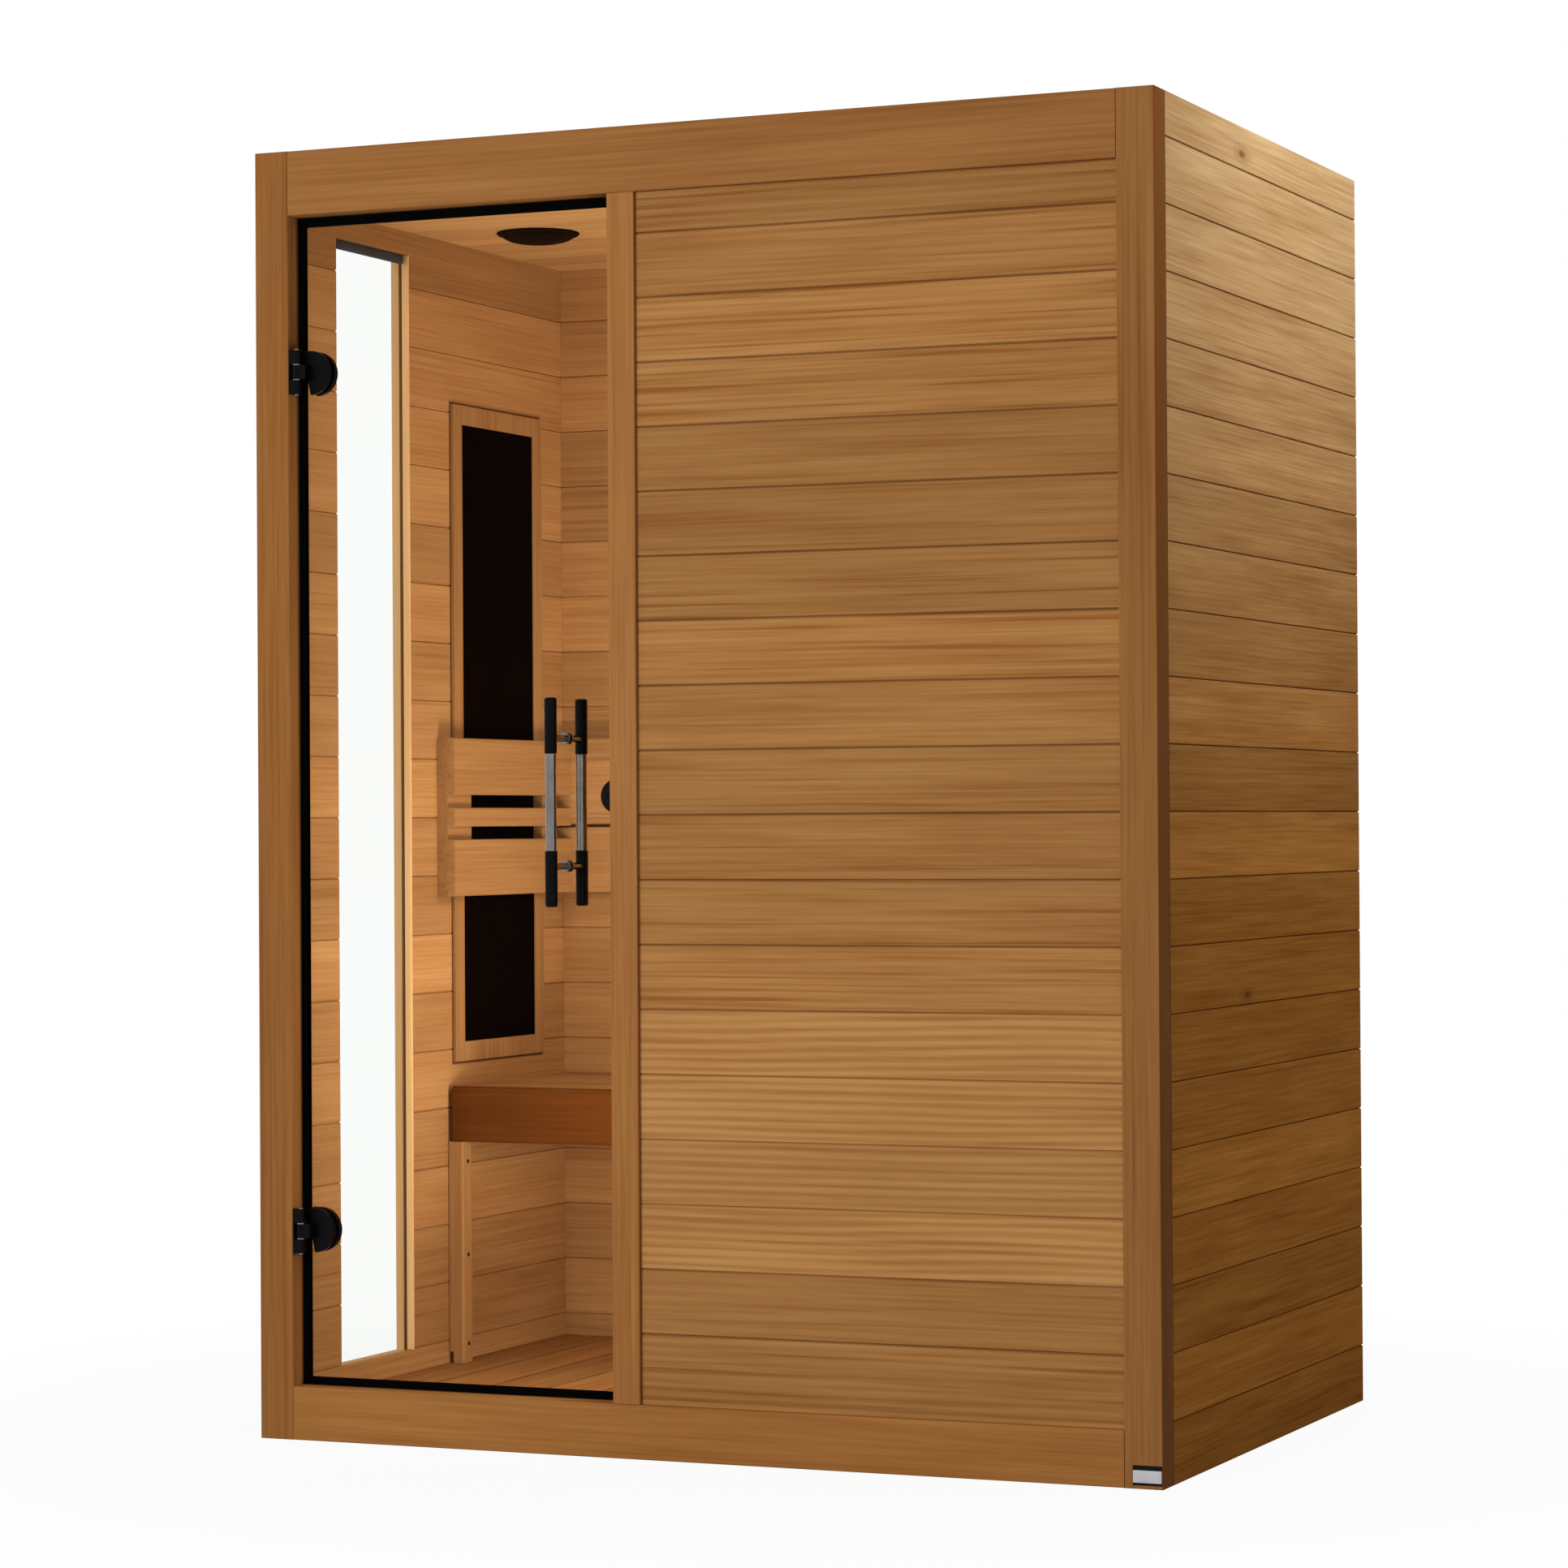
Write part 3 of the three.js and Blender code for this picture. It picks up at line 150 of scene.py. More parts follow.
# %% Node group: hemlock boards
def hemlock_group():
    """Colour = dark to light by fibres and growth lines, times the board's tone, less a dark joint line."""
    tree = bpy.data.node_groups.new("hemlock_boards", "ShaderNodeTree")
    face = tree.interface
    face.new_socket("Vector", in_out="INPUT", socket_type="NodeSocketVector")
    for name in ("Pitch", "Offset", "Seed", "Stripes", "Joint", "Batch from", "Batch to"):
        face.new_socket(name, in_out="INPUT", socket_type="NodeSocketFloat")
    for name in ("Light", "Dark"):
        face.new_socket(name, in_out="INPUT", socket_type="NodeSocketColor")
    face.new_socket("Color", in_out="OUTPUT", socket_type="NodeSocketColor")
    for name in ("Roughness", "Height"):
        face.new_socket(name, in_out="OUTPUT", socket_type="NodeSocketFloat")
    given = tree.nodes.new("NodeGroupInput").outputs
    out = tree.nodes.new("NodeGroupOutput").inputs

    part = node(tree, "ShaderNodeSeparateXYZ", i0=given["Vector"]).outputs
    along, stack, depth = part[0], part[1], part[2]
    boards = maths(tree, "DIVIDE", maths(tree, "SUBTRACT", stack, given["Offset"]), given["Pitch"])
    number = maths(tree, "FLOOR", boards)
    share = maths(tree, "SUBTRACT", boards, number)
    label = node(tree, "ShaderNodeCombineXYZ", i0=number, i1=given["Seed"]).outputs[0]
    chance = node(tree, "ShaderNodeTexWhiteNoise", {"noise_dimensions": "2D"}, Vector=label).outputs["Color"]
    lots = node(tree, "ShaderNodeSeparateColor", i0=chance).outputs
    tone, stripy, shift = lots[0], lots[1], lots[2]

    slide = maths(tree, "MULTIPLY", shift, BOARD_SHIFT)

    def grain(kind):
        """Noise that is long along the board and fine across it."""
        stretch, fine, detail = GRAINS[kind]
        a = maths(tree, "ADD", maths(tree, "MULTIPLY", along, stretch), slide)
        b = maths(tree, "MULTIPLY", stack, fine)
        c = maths(tree, "MULTIPLY", depth, fine)
        place = node(tree, "ShaderNodeCombineXYZ", i0=a, i1=b, i2=c).outputs[0]
        return node(tree, "ShaderNodeTexNoise", Vector=place, Scale=1.0, Detail=detail).outputs[0]

    batch = maths(tree, "GREATER_THAN", stack, given["Batch from"])
    batch = maths(tree, "MULTIPLY", batch, maths(tree, "LESS_THAN", stack, given["Batch to"]))
    plain = maths(tree, "SUBTRACT", 1.0, maths(tree, "MULTIPLY", batch, BATCH_CALM))

    lines = maths(tree, "MULTIPLY", stack, LINES_ACROSS)
    lines = maths(tree, "ADD", lines, maths(tree, "MULTIPLY", grain("drift"), LINE_DRIFT))
    lines = maths(tree, "ADD", lines, maths(tree, "MULTIPLY", depth, LINES_DEEP))
    wave = maths(tree, "SINE", maths(tree, "MULTIPLY", lines, 2.0 * math.pi))
    strength = maths(tree, "MULTIPLY", ramp(tree, stripy, 0.55, 1.0, 0.1, 0.8), given["Stripes"])
    strength = maths(tree, "MULTIPLY", maths(tree, "MAXIMUM", strength, batch), WAVE_GAIN)
    vein = maths(tree, "MULTIPLY", ramp(tree, grain("vein"), 0.26, 0.5, 1.0, 0.0), given["Stripes"])
    vein = maths(tree, "MULTIPLY", vein, ramp(tree, stripy, 0.0, 0.6, 0.3, 0.8))

    fibre = grain("fibre")
    level = 0.5
    for noise, gain in ((grain("cloud"), CLOUD_GAIN), (fibre, FIBRE_GAIN), (grain("streak"), STREAK_GAIN)):
        level = maths(tree, "ADD", level, swing(tree, noise, gain))
    level = maths(tree, "ADD", level, maths(tree, "MULTIPLY", wave, strength))
    level = maths(tree, "SUBTRACT", level, maths(tree, "MULTIPLY", vein, plain))
    level = maths(tree, "ADD", level, maths(tree, "MULTIPLY", batch, BATCH_LIFT))
    mixed = blend(tree, level, given["Dark"], given["Light"])

    edge = maths(tree, "MINIMUM", share, maths(tree, "SUBTRACT", 1.0, share))
    crack = ramp(tree, maths(tree, "MULTIPLY", edge, given["Pitch"]), *CRACK_EDGE, 1.0, 0.0)
    broken = maths(tree, "MULTIPLY", ramp(tree, grain("crack"), 0.3, 0.62, 0.45, 1.0), given["Joint"])
    crack = maths(tree, "MULTIPLY", maths(tree, "MULTIPLY", crack, broken), plain)
    whole = maths(tree, "SUBTRACT", 1.0, crack)
    shade = maths(tree, "MULTIPLY", ramp(tree, tone, 0.0, 1.0, *TONES), whole)
    toned = node(tree, "ShaderNodeVectorMath", {"operation": "SCALE"}, i0=mixed, Scale=shade)
    tree.links.new(toned.outputs[0], out["Color"])
    tree.links.new(ramp(tree, level, 0.0, 1.0, 0.68, 0.5), out["Roughness"])
    height = maths(tree, "ADD", maths(tree, "MULTIPLY", fibre, 0.5), maths(tree, "MULTIPLY", level, 0.3))
    tree.links.new(height, out["Height"])
    return tree


HEMLOCK = hemlock_group()
print("hemlock group nodes:", len(HEMLOCK.nodes))

# %% [markdown]
# ## Knots
# Two boards of the right wall have a small knot where a branch grew. A knot is a dark core in a soft ring,
# longer along the board than across it, so a group measures a stretched distance from its centre and bends
# it with noise.

# %% Node group: knot
KNOT_STRETCH, KNOT_BEND = 0.35, 0.006
KNOT_CORE, KNOT_EDGE, KNOT_RING = 0.002, 0.008, 0.02


def knot_group():
    """Mask = full inside the core, fading through a ring, by the stretched distance from the centre."""
    tree = bpy.data.node_groups.new("knot", "ShaderNodeTree")
    tree.interface.new_socket("Vector", in_out="INPUT", socket_type="NodeSocketVector")
    for name in ("Along", "Stack"):
        tree.interface.new_socket(name, in_out="INPUT", socket_type="NodeSocketFloat")
    tree.interface.new_socket("Mask", in_out="OUTPUT", socket_type="NodeSocketFloat")
    given = tree.nodes.new("NodeGroupInput").outputs
    part = node(tree, "ShaderNodeSeparateXYZ", i0=given["Vector"]).outputs
    along = maths(tree, "SUBTRACT", part[0], given["Along"])
    along = maths(tree, "MULTIPLY", along, KNOT_STRETCH)
    across = maths(tree, "SUBTRACT", part[1], given["Stack"])
    far = maths(tree, "MULTIPLY", along, along)
    far = maths(tree, "SQRT", maths(tree, "ADD", far, maths(tree, "MULTIPLY", across, across)))
    bend = node(tree, "ShaderNodeTexNoise", Vector=given["Vector"], Scale=120.0).outputs[0]
    far = maths(tree, "ADD", far, swing(tree, bend, KNOT_BEND))
    core = ramp(tree, far, KNOT_CORE, KNOT_EDGE, 0.75, 0.22)
    ring = ramp(tree, far, KNOT_EDGE, KNOT_RING, 1.0, 0.0)
    tree.links.new(maths(tree, "MULTIPLY", core, ring), tree.nodes.new("NodeGroupOutput").inputs["Mask"])
    return tree


KNOT = knot_group()
KNOT_BROWN = srgb(88, 48, 20)
print("knot group nodes:", len(KNOT.nodes))

# %% [markdown]
# ## One wood material for each lay of the boards
# The group expects its first axis along the grain and its second across the boards. On a side wall the grain
# runs along Y and the boards are stacked along Z; on a post the grain runs along Z. A Separate and a Combine
# node put the axes in that order, so the same group serves every timber.
# Four things can be laid over the boards by masks on the same coordinates: another palette on a wall's outer
# face, a paler palette towards the top that is a painted highlight, a painted shade round a frame and a
# painted shade on the side of a post.

# %% Wood material
# A pitch so wide that no joint falls on a single timber.
UNBOARDED = 20.0
# Painted shade on the outer side face of the right post, beyond its front edge.
PAINTED_SIDE_SHADE, SIDE_SHADE_EDGE = srgb(108, 62, 19), 0.0012
# Painted shade: a dark line on the inner wall just outside the heater frame, where shade falls in the gap.
GAP_SHADE_BROWN, GAP_SHADE_STRENGTH = srgb(78, 42, 15), 0.9
GAP_SHADE_FULL, GAP_SHADE_END = 0.002, 0.006


def wood(name, axes, light, dark, pitch=UNBOARDED, offset=-UNBOARDED / 2, seed=1.0, stripes=0.5, joint=0.0,
         batch=(0.0, 0.0), shaded_beyond=None, outside=None, knots=(), painted_gap_shade=None, painted_top_highlight=None,
         sheen=0.02):
    """Hemlock whose grain, stack and depth run along the three given axes."""
    material = bpy.data.materials.new(name)
    material.use_nodes = True
    tree = material.node_tree
    shader = tree.nodes["Principled BSDF"]
    place = tree.nodes.new("ShaderNodeTexCoord").outputs["Object"]
    part = node(tree, "ShaderNodeSeparateXYZ", i0=place).outputs
    order = ["xyz".index(axis) for axis in axes]
    turned = node(tree, "ShaderNodeCombineXYZ", i0=part[order[0]], i1=part[order[1]], i2=part[order[2]])
    boards = tree.nodes.new("ShaderNodeGroup")
    boards.node_tree = HEMLOCK
    tree.links.new(turned.outputs[0], boards.inputs["Vector"])
    for key, value in (("Pitch", pitch), ("Offset", offset), ("Seed", seed), ("Stripes", stripes),
                       ("Joint", joint), ("Light", light), ("Dark", dark),
                       ("Batch from", batch[0]), ("Batch to", batch[1])):
        boards.inputs[key].default_value = value

    def second_palette(mask, other):
        """Light and Dark both change to the other palette where the mask is full."""
        for key, first, second in zip(("Light", "Dark"), (light, dark), other):
            tree.links.new(blend(tree, mask, first, second), boards.inputs[key])

    inside = 1.0
    if outside is not None:
        axis, plane, step, outer = outside
        mask = maths(tree, "GREATER_THAN", maths(tree, "MULTIPLY", part["xyz".index(axis)], step), plane)
        second_palette(mask, outer)
        inside = maths(tree, "SUBTRACT", 1.0, mask)
    # Painted highlight: the palette turns paler towards the top, where the light falls on the right wall.
    if painted_top_highlight is not None:
        low, high, pale = painted_top_highlight
        second_palette(ramp(tree, part[2], low, high), pale)
    colour = boards.outputs["Color"]
    for along, stack in knots:
        centre = {"Along": along, "Stack": stack}
        spot = node(tree, "ShaderNodeGroup", {"node_tree": KNOT}, Vector=turned.outputs[0], **centre)
        colour = blend(tree, spot.outputs[0], colour, KNOT_BROWN)
    # Painted shade in a thin line round the heater frame, on the inner face only.
    if painted_gap_shade is not None:
        rim = maths(tree, "MULTIPLY", inside, GAP_SHADE_STRENGTH)
        for axis, middle, half in painted_gap_shade:
            off = maths(tree, "ABSOLUTE", maths(tree, "SUBTRACT", part[axis], middle))
            within = ramp(tree, off, half + GAP_SHADE_FULL, half + GAP_SHADE_END, 1.0, 0.0)
            rim = maths(tree, "MULTIPLY", rim, within)
        colour = blend(tree, rim, colour, GAP_SHADE_BROWN)
    # Painted shade: the side face of the right post is darkened.
    if shaded_beyond is not None:
        side_shade = ramp(tree, part[0], shaded_beyond - SIDE_SHADE_EDGE, shaded_beyond)
        colour = blend(tree, side_shade, colour, PAINTED_SIDE_SHADE)
    tree.links.new(colour, shader.inputs["Base Color"])
    tree.links.new(boards.outputs["Roughness"], shader.inputs["Roughness"])
    bump = node(tree, "ShaderNodeBump", Strength=0.25, Distance=0.0006, Height=boards.outputs["Height"])
    tree.links.new(bump.outputs[0], shader.inputs["Normal"])
    shader.inputs["Specular IOR Level"].default_value = sheen
    return material


print("wood material ready, pitch of timber without joints:", UNBOARDED)


# %% Palettes and places of the boards
def middle_and_half(name):
    """Middle and half size of a piece's box."""
    low, high = (np.array(corner, float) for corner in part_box(name))
    return (low + high) / 2, (high - low) / 2


BOARD, FIRST = 0.0922, 0.0863
FLOOR_BOARD, SEAT_BOARD = 0.095, 0.084
STRIPED = (FIRST + 2 * BOARD, FIRST + 6 * BOARD)
CEILING_EDGE, SEAT_EDGE = (float(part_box(name)[0][1]) for name in ("ceiling_panel", "bench_seat"))
LEFT_WALL_MIDDLE = float(middle_and_half("left_wall")[0][0])
BACK_WALL_MIDDLE = float(middle_and_half("back_wall")[0][1])
POST_EDGE = float(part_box("front_post_right")[1][0])
KNOT_PLACES = ((-0.094, 1.861), (-0.095, 0.654))
# Heights over which the painted highlight at the top of the right wall grows.
TOP_HIGHLIGHT_FROM, TOP_HIGHLIGHT_TO = 0.6, 2.1
heater_middle, heater_half = middle_and_half("heater_left_frame")
# The box round which the painted gap shade is drawn.
HEATER_GAP_SHADE_BOX = [(axis, float(heater_middle[axis]), float(heater_half[axis])) for axis in (1, 2)]
FACE = (srgb(182, 134, 80), srgb(140, 88, 42))
SIDE = (srgb(190, 130, 61), srgb(133, 74, 23))
INNER = (srgb(188, 140, 88), srgb(148, 99, 53))
FRAME = (srgb(172, 121, 70), srgb(136, 85, 42))
# Paler palette for the painted highlight at the top of the right wall.
TOP_HIGHLIGHT_PALETTE = (srgb(190, 163, 121), srgb(133, 94, 52))
CEILING = (srgb(208, 160, 104), srgb(166, 115, 65))
# A darker copy of the inner palette: painted shade on the cabin floor.
FLOOR = (srgb(166, 116, 66), srgb(128, 80, 38))
# A darker copy of the frame palette: painted shade on the left post.
SHADED_POST_PALETTE = (srgb(154, 105, 57), srgb(120, 72, 34))
SILL = (srgb(184, 129, 71), srgb(146, 91, 43))
BENCH = (srgb(114, 64, 25), srgb(86, 42, 12))
TRIM = (srgb(222, 176, 122), srgb(194, 146, 94))
print("heater outline, middle and half:", HEATER_GAP_SHADE_BOX)

# %% Wood materials
woods = {
    "boards_front": wood("boards_front", "xzy", *FACE, BOARD, FIRST, seed=3.0, stripes=0.7, joint=0.25,
                         batch=STRIPED),
    "boards_side": wood("boards_side", "yzx", *SIDE, BOARD, FIRST, seed=7.0, stripes=0.12, joint=0.12,
                        knots=KNOT_PLACES, painted_top_highlight=(TOP_HIGHLIGHT_FROM, TOP_HIGHLIGHT_TO, TOP_HIGHLIGHT_PALETTE), sheen=0.0),
    "boards_inner_side": wood("boards_inner_side", "yzx", *INNER, BOARD, FIRST, seed=5.0, stripes=0.3,
                              outside=("x", -LEFT_WALL_MIDDLE, -1.0, SIDE), painted_gap_shade=HEATER_GAP_SHADE_BOX),
    "boards_back": wood("boards_back", "xzy", *INNER, BOARD, FIRST, seed=9.0, stripes=0.4,
                        outside=("y", BACK_WALL_MIDDLE, 1.0, SIDE)),
    # Painted shade: the floor boards take the darker copy of the inner palette.
    "boards_floor": wood("boards_floor", "yxz", *FLOOR, FLOOR_BOARD, 0.0, seed=4.0, joint=0.75),
    "boards_ceiling": wood("boards_ceiling", "xyz", *CEILING, BOARD, CEILING_EDGE, seed=6.0, stripes=0.3),
    "boards_seat": wood("boards_seat", "xyz", *INNER, SEAT_BOARD, SEAT_EDGE, seed=2.0, stripes=0.4,
                        joint=0.2),
    "roof_board": wood("roof_board", "xyz", *FACE, stripes=0.3),
    "timber_x": wood("timber_x", "xzy", *FRAME, seed=11.0, stripes=0.35),
    "timber_y": wood("timber_y", "yzx", *INNER, seed=12.0, stripes=0.3),
    "timber_z": wood("timber_z", "zxy", *FRAME, seed=13.0, stripes=0.35),
    "heater_frame": wood("heater_frame", "zxy", *INNER, seed=17.0, stripes=0.3),
    # Painted shade: the left post takes the darker copy of the frame palette.
    "post_left": wood("post_left", "zxy", *SHADED_POST_PALETTE, seed=19.0, stripes=0.35),
    "timber_sill": wood("timber_sill", "xzy", *SILL, seed=20.0, stripes=0.35),
    "post_right": wood("post_right", "zxy", *FRAME, seed=16.0, stripes=0.35, shaded_beyond=POST_EDGE),
    "timber_bench": wood("timber_bench", "xzy", *BENCH, seed=14.0, stripes=0.3),
    "timber_trim": wood("timber_trim", "zxy", *TRIM, seed=18.0, stripes=0.2),
    "timber_cleat": wood("timber_cleat", "zxy", *INNER, seed=15.0, stripes=0.3),
}
print("wood materials:", len(woods))

# %% [markdown]
# ## Metal, rubber, plastic and glass
# Black metal on a hinge is never one flat black: the coat is a little uneven, so its roughness drifts. One
# small group gives that drift from two noises, and every coated material below uses it with its own limits.


# %% Node group: uneven coat
def coat_group():
    """Roughness = low to high by a broad noise; Height = a fine noise, for a moulded or painted skin."""
    tree = bpy.data.node_groups.new("uneven_coat", "ShaderNodeTree")
    for name in ("Size", "Low", "High"):
        tree.interface.new_socket(name, in_out="INPUT", socket_type="NodeSocketFloat")
    for name in ("Roughness", "Height", "Shade"):
        tree.interface.new_socket(name, in_out="OUTPUT", socket_type="NodeSocketFloat")
    given = tree.nodes.new("NodeGroupInput").outputs
    out = tree.nodes.new("NodeGroupOutput").inputs
    place = tree.nodes.new("ShaderNodeTexCoord").outputs["Object"]
    broad = node(tree, "ShaderNodeTexNoise", Vector=place, Scale=given["Size"], Detail=3.0).outputs[0]
    fine = node(tree, "ShaderNodeTexNoise", Vector=place, Scale=1800.0, Detail=2.0).outputs[0]
    spread = node(tree, "ShaderNodeMapRange", i0=broad, i1=0.3, i2=0.7, i3=given["Low"], i4=given["High"])
    tree.links.new(spread.outputs[0], out["Roughness"])
    tree.links.new(fine, out["Height"])
    tree.links.new(ramp(tree, broad, 0.25, 0.75, 0.85, 1.15), out["Shade"])
    return tree


COAT = coat_group()
print("coat group nodes:", len(COAT.nodes))


# %% Coated materials and glass
def coated(name, colour, low, high, metallic=0.0, size=30.0, grain=0.08, gloss=0.5):
    """A painted, moulded or polished skin with uneven roughness and a fine bump."""
    material = bpy.data.materials.new(name)
    material.use_nodes = True
    tree = material.node_tree
    shader = tree.nodes["Principled BSDF"]
    coat = tree.nodes.new("ShaderNodeGroup")
    coat.node_tree = COAT
    for key, value in (("Size", size), ("Low", low), ("High", high)):
        coat.inputs[key].default_value = value
    shade = coat.outputs["Shade"]
    shaded = node(tree, "ShaderNodeVectorMath", {"operation": "SCALE"}, i0=colour[:3], Scale=shade)
    tree.links.new(shaded.outputs[0], shader.inputs["Base Color"])
    tree.links.new(coat.outputs["Roughness"], shader.inputs["Roughness"])
    bump = node(tree, "ShaderNodeBump", Strength=grain, Distance=0.0003, Height=coat.outputs["Height"])
    tree.links.new(bump.outputs[0], shader.inputs["Normal"])
    shader.inputs["Metallic"].default_value = metallic
    shader.inputs["Specular IOR Level"].default_value = gloss
    return material


def clear_glass(name, tint):
    """Glass that lets lamp light through: a shadow ray meets a see-through shader in place of the glass."""
    # The low refractive index keeps the glass from mirroring the white studio as a haze.
    material = bpy.data.materials.new(name)
    material.use_nodes = True
    tree = material.node_tree
    shader = tree.nodes["Principled BSDF"]
    shader.inputs["Base Color"].default_value = tint
    shader.inputs["Roughness"].default_value = 0.0
    shader.inputs["IOR"].default_value = 1.04
    shader.inputs["Transmission Weight"].default_value = 1.0
    shader.inputs["Specular IOR Level"].default_value = 0.04
    shadow = tree.nodes.new("ShaderNodeLightPath").outputs["Is Shadow Ray"]
    clear = node(tree, "ShaderNodeBsdfTransparent", Color=tint).outputs[0]
    mix = node(tree, "ShaderNodeMixShader", i0=shadow, i1=shader.outputs[0], i2=clear)
    tree.links.new(mix.outputs[0], tree.nodes["Material Output"].inputs["Surface"])
    return material


smooth = {
    "black_metal": coated("black_metal", srgb(6, 5, 5), 0.35, 0.5, size=60.0, gloss=0.07),
    "black_rubber": coated("black_rubber", srgb(4, 4, 4), 0.6, 0.8, gloss=0.02),
    "black_plastic": coated("black_plastic", srgb(9, 8, 8), 0.4, 0.55, gloss=0.1),
    "heater_black": coated("heater_black", srgb(10, 4, 2), 0.6, 0.75, size=12.0, gloss=0.0),
    "speaker_cloth": coated("speaker_cloth", srgb(22, 11, 5), 0.6, 0.8, size=300.0, grain=0.6, gloss=0.05),
    "slate_trim": coated("slate_trim", srgb(62, 62, 66), 0.5, 0.65, gloss=0.1),
    "display_gloss": coated("display_gloss", srgb(8, 8, 10), 0.05, 0.1, grain=0.0),
    "chrome": coated("chrome", srgb(124, 120, 116), 0.12, 0.22, 1.0, size=40.0, grain=0.02),
    "white_plastic": coated("white_plastic", srgb(226, 222, 212), 0.35, 0.5),
    "grey_steel": coated("grey_steel", srgb(186, 186, 188), 0.35, 0.5, 0.6),
    "door_glass": clear_glass("door_glass", srgb(253, 254, 253)),
    "window_glass": clear_glass("window_glass", srgb(252, 253, 252)),
}
print("smooth materials:", len(smooth))

# %% [markdown]
# ## Giving each piece its finish
# A table from piece to finish is easier to read than sixty assignments. What the table doesn't name goes by
# the start or the ending of its name.

# %% Assign the finishes
finish = {
    "front_infill": "boards_front", "right_wall": "boards_side", "left_wall": "boards_inner_side",
    "back_wall": "boards_back", "floor_panel": "boards_floor", "ceiling_panel": "boards_ceiling",
    "bench_seat": "boards_seat", "bench_apron": "timber_bench", "bench_ledger": "timber_bench",
    "bench_cleat_left": "timber_cleat", "bench_cleat_right": "timber_cleat", "roof_board": "roof_board",
    "front_header": "timber_x", "front_sill_rail": "timber_sill", "front_post_left": "post_left",
    "front_post_right": "post_right", "door_stile": "timber_z", "window_bead": "timber_trim",
    "guard_left": "timber_y", "guard_right": "timber_y", "guard_back": "boards_back",
    "vent_frame": "boards_ceiling", "vent_shutter": "boards_ceiling",
    "door_glass": "door_glass", "window_pane": "window_glass", "door_seal": "black_rubber",
    "door_catch": "black_plastic", "cable_gland": "black_plastic", "control_housing": "black_plastic",
    "control_display": "display_gloss", "ceiling_lamp": "white_plastic", "power_box": "grey_steel",
}
endings = {
    "_panel": "heater_black", "_frame": "heater_frame", "_pin": "chrome", "_leaf": "black_metal",
    "_clamp": "black_metal", "_back_plate": "black_metal", "_bar": "black_metal", "_sleeve": "chrome",
    "_upper": "chrome", "_lower": "chrome",
}
looks = {**woods, **smooth}
for name, piece in nodes.items():
    choice = finish.get(name)
    if choice is None and name.startswith("key_"):
        choice = "white_plastic"
    if choice is None and name.startswith("speaker_"):
        choice = "speaker_cloth"
    if choice is None:
        choice = next(value for ending, value in endings.items() if name.endswith(ending))
    piece.data.materials.clear()
    piece.data.materials.append(looks[choice])
print("finished pieces:", len(nodes))

# %% [markdown]
# ## Surfaces from grids
# A small piece such as a screw or a bare plate is a grid of points bent into shape: rows go from the rim to
# the middle and columns go round. The whole grid is one numpy array, and the faces follow from its indices.


# %% Grid helper
def surface(name, points, material, body):
    """points[row, column] is closed round its columns; the last row is one point, and faces look outwards."""
    rows, columns = points.shape[:2]
    i, j = np.meshgrid(np.arange(rows - 1), np.arange(columns), indexing="ij")
    k = (j + 1) % columns
    quads = np.stack([i * columns + j, i * columns + k, (i + 1) * columns + k, (i + 1) * columns + j], -1)
    mesh = bpy.data.meshes.new(name)
    mesh.from_pydata(points.reshape(-1, 3).tolist(), [], quads.reshape(-1, 4).tolist())
    work = bmesh.new()
    work.from_mesh(mesh)
    bmesh.ops.remove_doubles(work, verts=work.verts, dist=1e-7)
    bmesh.ops.holes_fill(work, edges=work.edges, sides=0)
    bmesh.ops.recalc_face_normals(work, faces=work.faces)
    work.to_mesh(mesh)
    work.free()
    mesh.materials.append(material)
    piece = bpy.data.objects.new(name, mesh)
    bpy.context.collection.objects.link(piece)
    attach(piece, body)
    return piece


# For a face that looks along x or y: the directions of u, of v and of the height.
AXES = {
    "x": ((0, 1, 0), (0, 0, 1), (1, 0, 0)),
    "y": ((1, 0, 0), (0, 0, 1), (0, 1, 0)),
}


def placed(u, v, w, centre, facing):
    """Puts flat coordinates u, v and a height w on a face that looks along an axis, such as -y."""
    e1, e2, e3 = (np.array(axis, float) for axis in AXES[facing[-1]])
    sign = -1.0 if facing[0] == "-" else 1.0
    return np.array(centre) + u[..., None] * e1 + v[..., None] * e2 + sign * w[..., None] * e3


print("grid helper ready")

# %% [markdown]
# ## Screws, a bare plate and two window strips
# Each screw is a turned dome with a cross pressed into it: the height is a parabola over the radius, lowered
# where the point lies near one of the two arms of the cross. The plate at the foot of the right post is a
# rounded rectangle drawn in rings towards its middle; the rings near the rim rise, so it has a soft edge.
# The dark strip at the head of the window and the pale one at its far side are such plates too.


# %% Screws
def screw(name, centre, facing, radius, body, coat):
    """Height = crown x (1 - share squared), less a cross-shaped dip near the middle."""
    share = np.array([1.0, 1.0, 0.92, 0.75, 0.6, 0.45, 0.3, 0.15, 0.0])[:, None]
    angle = np.linspace(0.0, 2.0 * np.pi, 24, endpoint=False)[None, :]
    u = radius * share * np.cos(angle)
    v = radius * share * np.sin(angle)
    crown = radius * 0.4 * (1.0 - share**2) + radius * 0.12
    arm = np.minimum(np.abs(u), np.abs(v)) < radius * 0.14
    height = np.where(arm & (share < 0.65), crown - radius * 0.3, crown)
    height[0] = 0.0
    return surface(name, placed(u, v, height, centre, facing), looks[coat], body)


